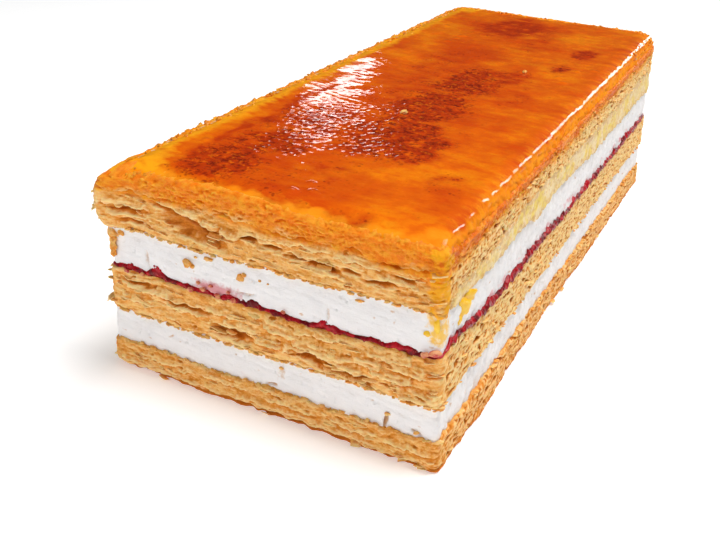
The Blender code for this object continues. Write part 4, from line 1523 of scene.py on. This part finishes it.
def crumbs():
    """Single crumbs at the front end: on the creams and in the jam."""
    made = bpy.data.materials["baked crust"]
    on_upper = [
        (front(-29.5), 48.8, -0.5, 1.8, 1.5, 1.1), (front(-27.6), 48.0, -0.5, 0.9, 0.8, 0.8),
        (front(-8.5), 48.9, -0.5, 1.5, 1.3, 1.0), (front(-7.0), 50.2, -0.5, 0.9, 0.8, 0.7),
        (front(-21), 52.2, -0.4, 1.7, 0.7, 0.8), (front(-26), 51.6, -0.5, 0.7, 0.4, 0.5),
        (front(-1), 49.8, -0.6, 0.5, 0.4, 0.4), (front(2), 49.4, -0.6, 0.4, 0.3, 0.4),
        (front(35), 52.8, -0.5, 1.3, 0.4, 0.5), (front(-60.5), 52.6, -0.3, 2.6, 1.8, 1.4),
        (front(-61), 50.0, -0.3, 2.2, 1.8, 1.3), (front(-60.6), 47.2, -0.3, 1.8, 1.7, 1.2),
        (front(-61), 44.8, -0.3, 1.3, 1.5, 1.1), (front(-57), 53.0, -0.4, 1.6, 1.0, 0.9),
    ]
    in_jam = [
        (front(-28), 39.6, 0.0, 1.3, 0.8, 0.9), (front(-23), 41.0, 0.0, 1.1, 0.7, 0.8),
        (front(-17), 40.2, 0.1, 1.2, 0.7, 0.8), (front(-13), 42.6, -0.1, 0.8, 0.5, 0.6),
        (front(-20), 43.0, -0.1, 0.8, 0.5, 0.6), (front(-11), 40.4, 0.1, 1.1, 0.7, 0.8),
        (front(-25), 42.8, -0.2, 0.9, 0.5, 0.6), (front(61), 43.0, 0.2, 1.8, 1.1, 1.1),
        (front(57), 41.8, 0.3, 1.2, 0.9, 0.9), (front(8), 41.4, -0.1, 0.9, 0.5, 0.7),
        (front(-55), 39.4, 0.0, 1.3, 0.6, 0.8), (front(-48), 39.8, 0.0, 1.0, 0.6, 0.8),
    ]
    on_lower = [(front(45.5), 16.6, -0.4, 0.9, 0.6, 0.6), (front(55.5), 13.2, -0.4, 1.0, 0.6, 0.6),
                (front(7), 20.5, -0.4, 0.8, 0.5, 0.5), (front(-50), 12.2, -0.4, 0.9, 0.5, 0.6)]
    lump_group("crumbs_on_the_upper_cream", "cream_upper", made, on_upper)
    lump_group("crumbs_in_the_jam", "jam", jam_crumb_material(), in_jam)
    lump_group("crumbs_on_the_lower_cream", "cream_lower", made, on_lower)


def over(x, y):
    """Place and outset of a point on the right half of the top, in mm."""
    outset = x - WIDTH / 2 / MM
    run = (y / (LENGTH / 2 / MM + outset - 0.1) + 1) / 2
    return 1 + 0.9 * run, outset


def edge_crumbs():
    """Crumbs that break up the lines between pastry and cream."""
    made = bpy.data.materials["baked crust"]
    lines = [("bottom", "pastry_bottom", pastry_bottom_top(0), 0.3),
             ("middle", "pastry_middle", cream_lower_top(0), -0.3),
             ("top", "pastry_top", cream_upper_top(0), -0.2)]
    for seed, (where, node, line, rise) in enumerate(lines):
        lumps = []
        for count in range(330):
            draw = draws(count, 6, seed, 72)
            turn = 0.96 * draw[0] * 3.3 if count % 3 else 0.9 * draw[0]
            if where == "top" and turn > 1:
                continue
            z = along_rim(turn, line) / MM + rise + 0.9 * (draw[1] - 0.5)
            size = 0.3 + 0.7 * draw[2] ** 2
            lumps.append((turn % 4, z, -0.7 + 0.4 * draw[3], size * (1 + draw[4]), size * 0.7,
                          size * (0.8 + 0.4 * draw[5])))
        lump_group("edge_crumbs_of_the_" + where, node, made, lumps, 1)
    spots = [(3, -52, 80.3, 1.6), (25, 32, 81.6, 1.3)]
    lumps = []
    for x, y, z, size in spots:
        turn, outset = over(x, y)
        lumps.append((turn, z, outset, size, 0.6 * size, 0.8 * size))
    lump_group("crumbs_on_the_glaze", "glaze", made, lumps, 2)


def rim_crumbs():
    """Small toasted bits along the top edges, thickest on the left."""
    made, tree, shader = nodes_of("toasted rim")
    body = mottle(tree, 260, 3, 0.4, 0.62, TOAST, DARK_TOAST)
    body = mottle(tree, 500, 3, 0.56, 0.7, body, CHAR)
    feed(tree, body, shader.inputs["Base Color"])
    shader.inputs["Roughness"].default_value = 0.45
    roughen(tree, shader, grain(tree, 1500, 2), 0.5, 0.3 * MM)
    lumps = []
    stretches = [(3.0, 3.9, 430, 10.0, 1.15), (2.0, 2.9, 140, 4.0, 1.0), (0.0, 0.12, 20, 4.0, 0.7),
                 (1.75, 1.9, 40, 3.0, 0.9)]
    count = 0
    for first, last, number, depth, size in stretches:
        for _ in range(number):
            count += 1
            draw = draws(count, 6, 1, 71)
            turn = first + (last - first) * draw[0]
            outset = -depth * draw[1] ** 2.2 - 0.2
            x, y = plan(np.array([turn]), np.array([outset * MM]))
            z = top_height(x, y)[0] / MM - 0.9 * (1 - ease(-outset, 0.0, 1.5))
            scale = size * (0.35 + 0.75 * draw[2] ** 2)
            lumps.append((turn, z + 0.1 * scale, outset, scale * (0.8 + 0.8 * draw[3]),
                          scale * (0.5 + 0.5 * draw[4]), scale * (0.6 + 0.7 * draw[5])))
    lump_group("toasted_rim_crumbs", "glaze", made, lumps, 1)


def yolk_drips():
    """Bright raw-looking yolk that ran down the front right corner."""
    made, tree, shader = nodes_of("runny yolk")
    body = mottle(tree, 500, 3, 0.4, 0.65, YOLK, LIGHT_YOLK)
    feed(tree, body, shader.inputs["Base Color"])
    shader.inputs["Roughness"].default_value = 0.3
    roughen(tree, shader, grain(tree, 900, 2), 0.4, 0.3 * MM)
    drips = [
        (0.915, 51.5, -0.7, 1.0, 2.4, 0.5), (0.885, 48.4, -0.8, 1.2, 0.9, 0.5),
        (right(-134), 50.8, -0.5, 2.8, 3.6, 1.1), (right(-129), 53.0, -0.5, 3.0, 1.8, 0.9),
        (right(-136), 47.6, -0.8, 1.1, 1.5, 0.6),
    ]
    lump_group("yolk_drips", "glaze", made, drips, 3)


# ---------------------------------------------------------------- stage, light and camera

def floor():
    """Plain pale floor, lit a little from within so that it stays pale to its far edge."""
    deselect()
    bpy.ops.mesh.primitive_plane_add(size=12, location=(0, 0, 0))
    sheet = bpy.context.object
    sheet.name = "floor"
    made, _, shader = nodes_of("plain pale floor")
    shader.inputs["Base Color"].default_value = (0.93, 0.93, 0.93, 1)
    shader.inputs["Roughness"].default_value = 0.9
    shader.inputs["Emission Color"].default_value = (1, 1, 1, 1)
    shader.inputs["Emission Strength"].default_value = 0.3
    sheet.data.materials.append(made)


def softbox(name, azimuth, elevation, distance, width, height, power, roll=0, mirrored=True):
    """Area light that faces the bar; azimuth 0 is behind the bar, growing to its right."""
    turn, rise = math.radians(azimuth), math.radians(elevation)
    away = Vector((math.sin(turn) * math.cos(rise), math.cos(turn) * math.cos(rise), math.sin(rise)))
    light = bpy.data.lights.new(name, "AREA")
    light.shape = "RECTANGLE"
    light.size = width
    light.size_y = height
    light.energy = power
    holder = bpy.data.objects.new(name, light)
    holder.location = Vector((0, 0, 0.06)) + away * distance
    facing = away.to_track_quat("Z", "Y") @ Quaternion((0, 0, 1), math.radians(roll))
    holder.rotation_euler = facing.to_euler()
    holder.visible_glossy = mirrored
    bpy.context.collection.objects.link(holder)


def lights():
    """Two windows mirrored in the glaze, and three broad soft lights."""
    softbox("overhead", 66, 75, 1.4, 0.8, 0.8, 21.5)
    softbox("front_fill", 185, 28, 1.6, 1.3, 0.9, 9.3, mirrored=False)
    softbox("right_fill", 100, 26, 1.5, 1.1, 0.8, 1.6)
    softbox("back_left_window", -29.5, 18.4, 1.4, 0.18, 0.045, 0.13, 39)
    softbox("back_right_strip", 13.5, 18.0, 1.4, 0.56, 0.19, 1.9, -50)
    world = bpy.data.worlds.new("studio")
    world.use_nodes = True
    world.node_tree.nodes["Background"].inputs[0].default_value = (1, 1, 1, 1)
    world.node_tree.nodes["Background"].inputs[1].default_value = 0.015
    bpy.context.scene.world = world


# Where the camera stands, and how it is turned, tilted and leant.
CAMERA_PLACE = Vector((133.9 * MM + SHIFT_X, -366.0 * MM + SHIFT_Y, 183.0 * MM))
CAMERA_YAW = math.radians(25.13)
CAMERA_PITCH = math.radians(26.66)
CAMERA_ROLL = math.radians(3.32)
CAMERA_LENS = 46.03


def camera():
    """Camera at the front right, looking down along the bar."""
    data = bpy.data.cameras.new("camera")
    data.lens = CAMERA_LENS
    data.sensor_width = 36
    holder = bpy.data.objects.new("camera", data)
    forward = Vector((-math.sin(CAMERA_YAW) * math.cos(CAMERA_PITCH),
                      math.cos(CAMERA_YAW) * math.cos(CAMERA_PITCH), -math.sin(CAMERA_PITCH)))
    level = Vector((math.cos(CAMERA_YAW), math.sin(CAMERA_YAW), 0))
    upright = level.cross(forward)
    right = level * math.cos(CAMERA_ROLL) + upright * math.sin(CAMERA_ROLL)
    up = upright * math.cos(CAMERA_ROLL) - level * math.sin(CAMERA_ROLL)
    turn = Matrix((right, up, -forward)).transposed()
    holder.matrix_world = Matrix.Translation(CAMERA_PLACE) @ turn.to_4x4()
    bpy.context.collection.objects.link(holder)
    bpy.context.scene.camera = holder
    bpy.context.scene.view_settings.view_transform = "Standard"


def main():
    """Everything, in the order in which a baker would stack it."""
    camera()
    pastry_bottom()
    cream_lower()
    pastry_middle()
    jam()
    cream_upper()
    custard()
    pastry_top()
    glaze()
    soaked_rim()
    flakes()
    crumbs()
    edge_crumbs()
    rim_crumbs()
    yolk_drips()
    floor()
    lights()


main()
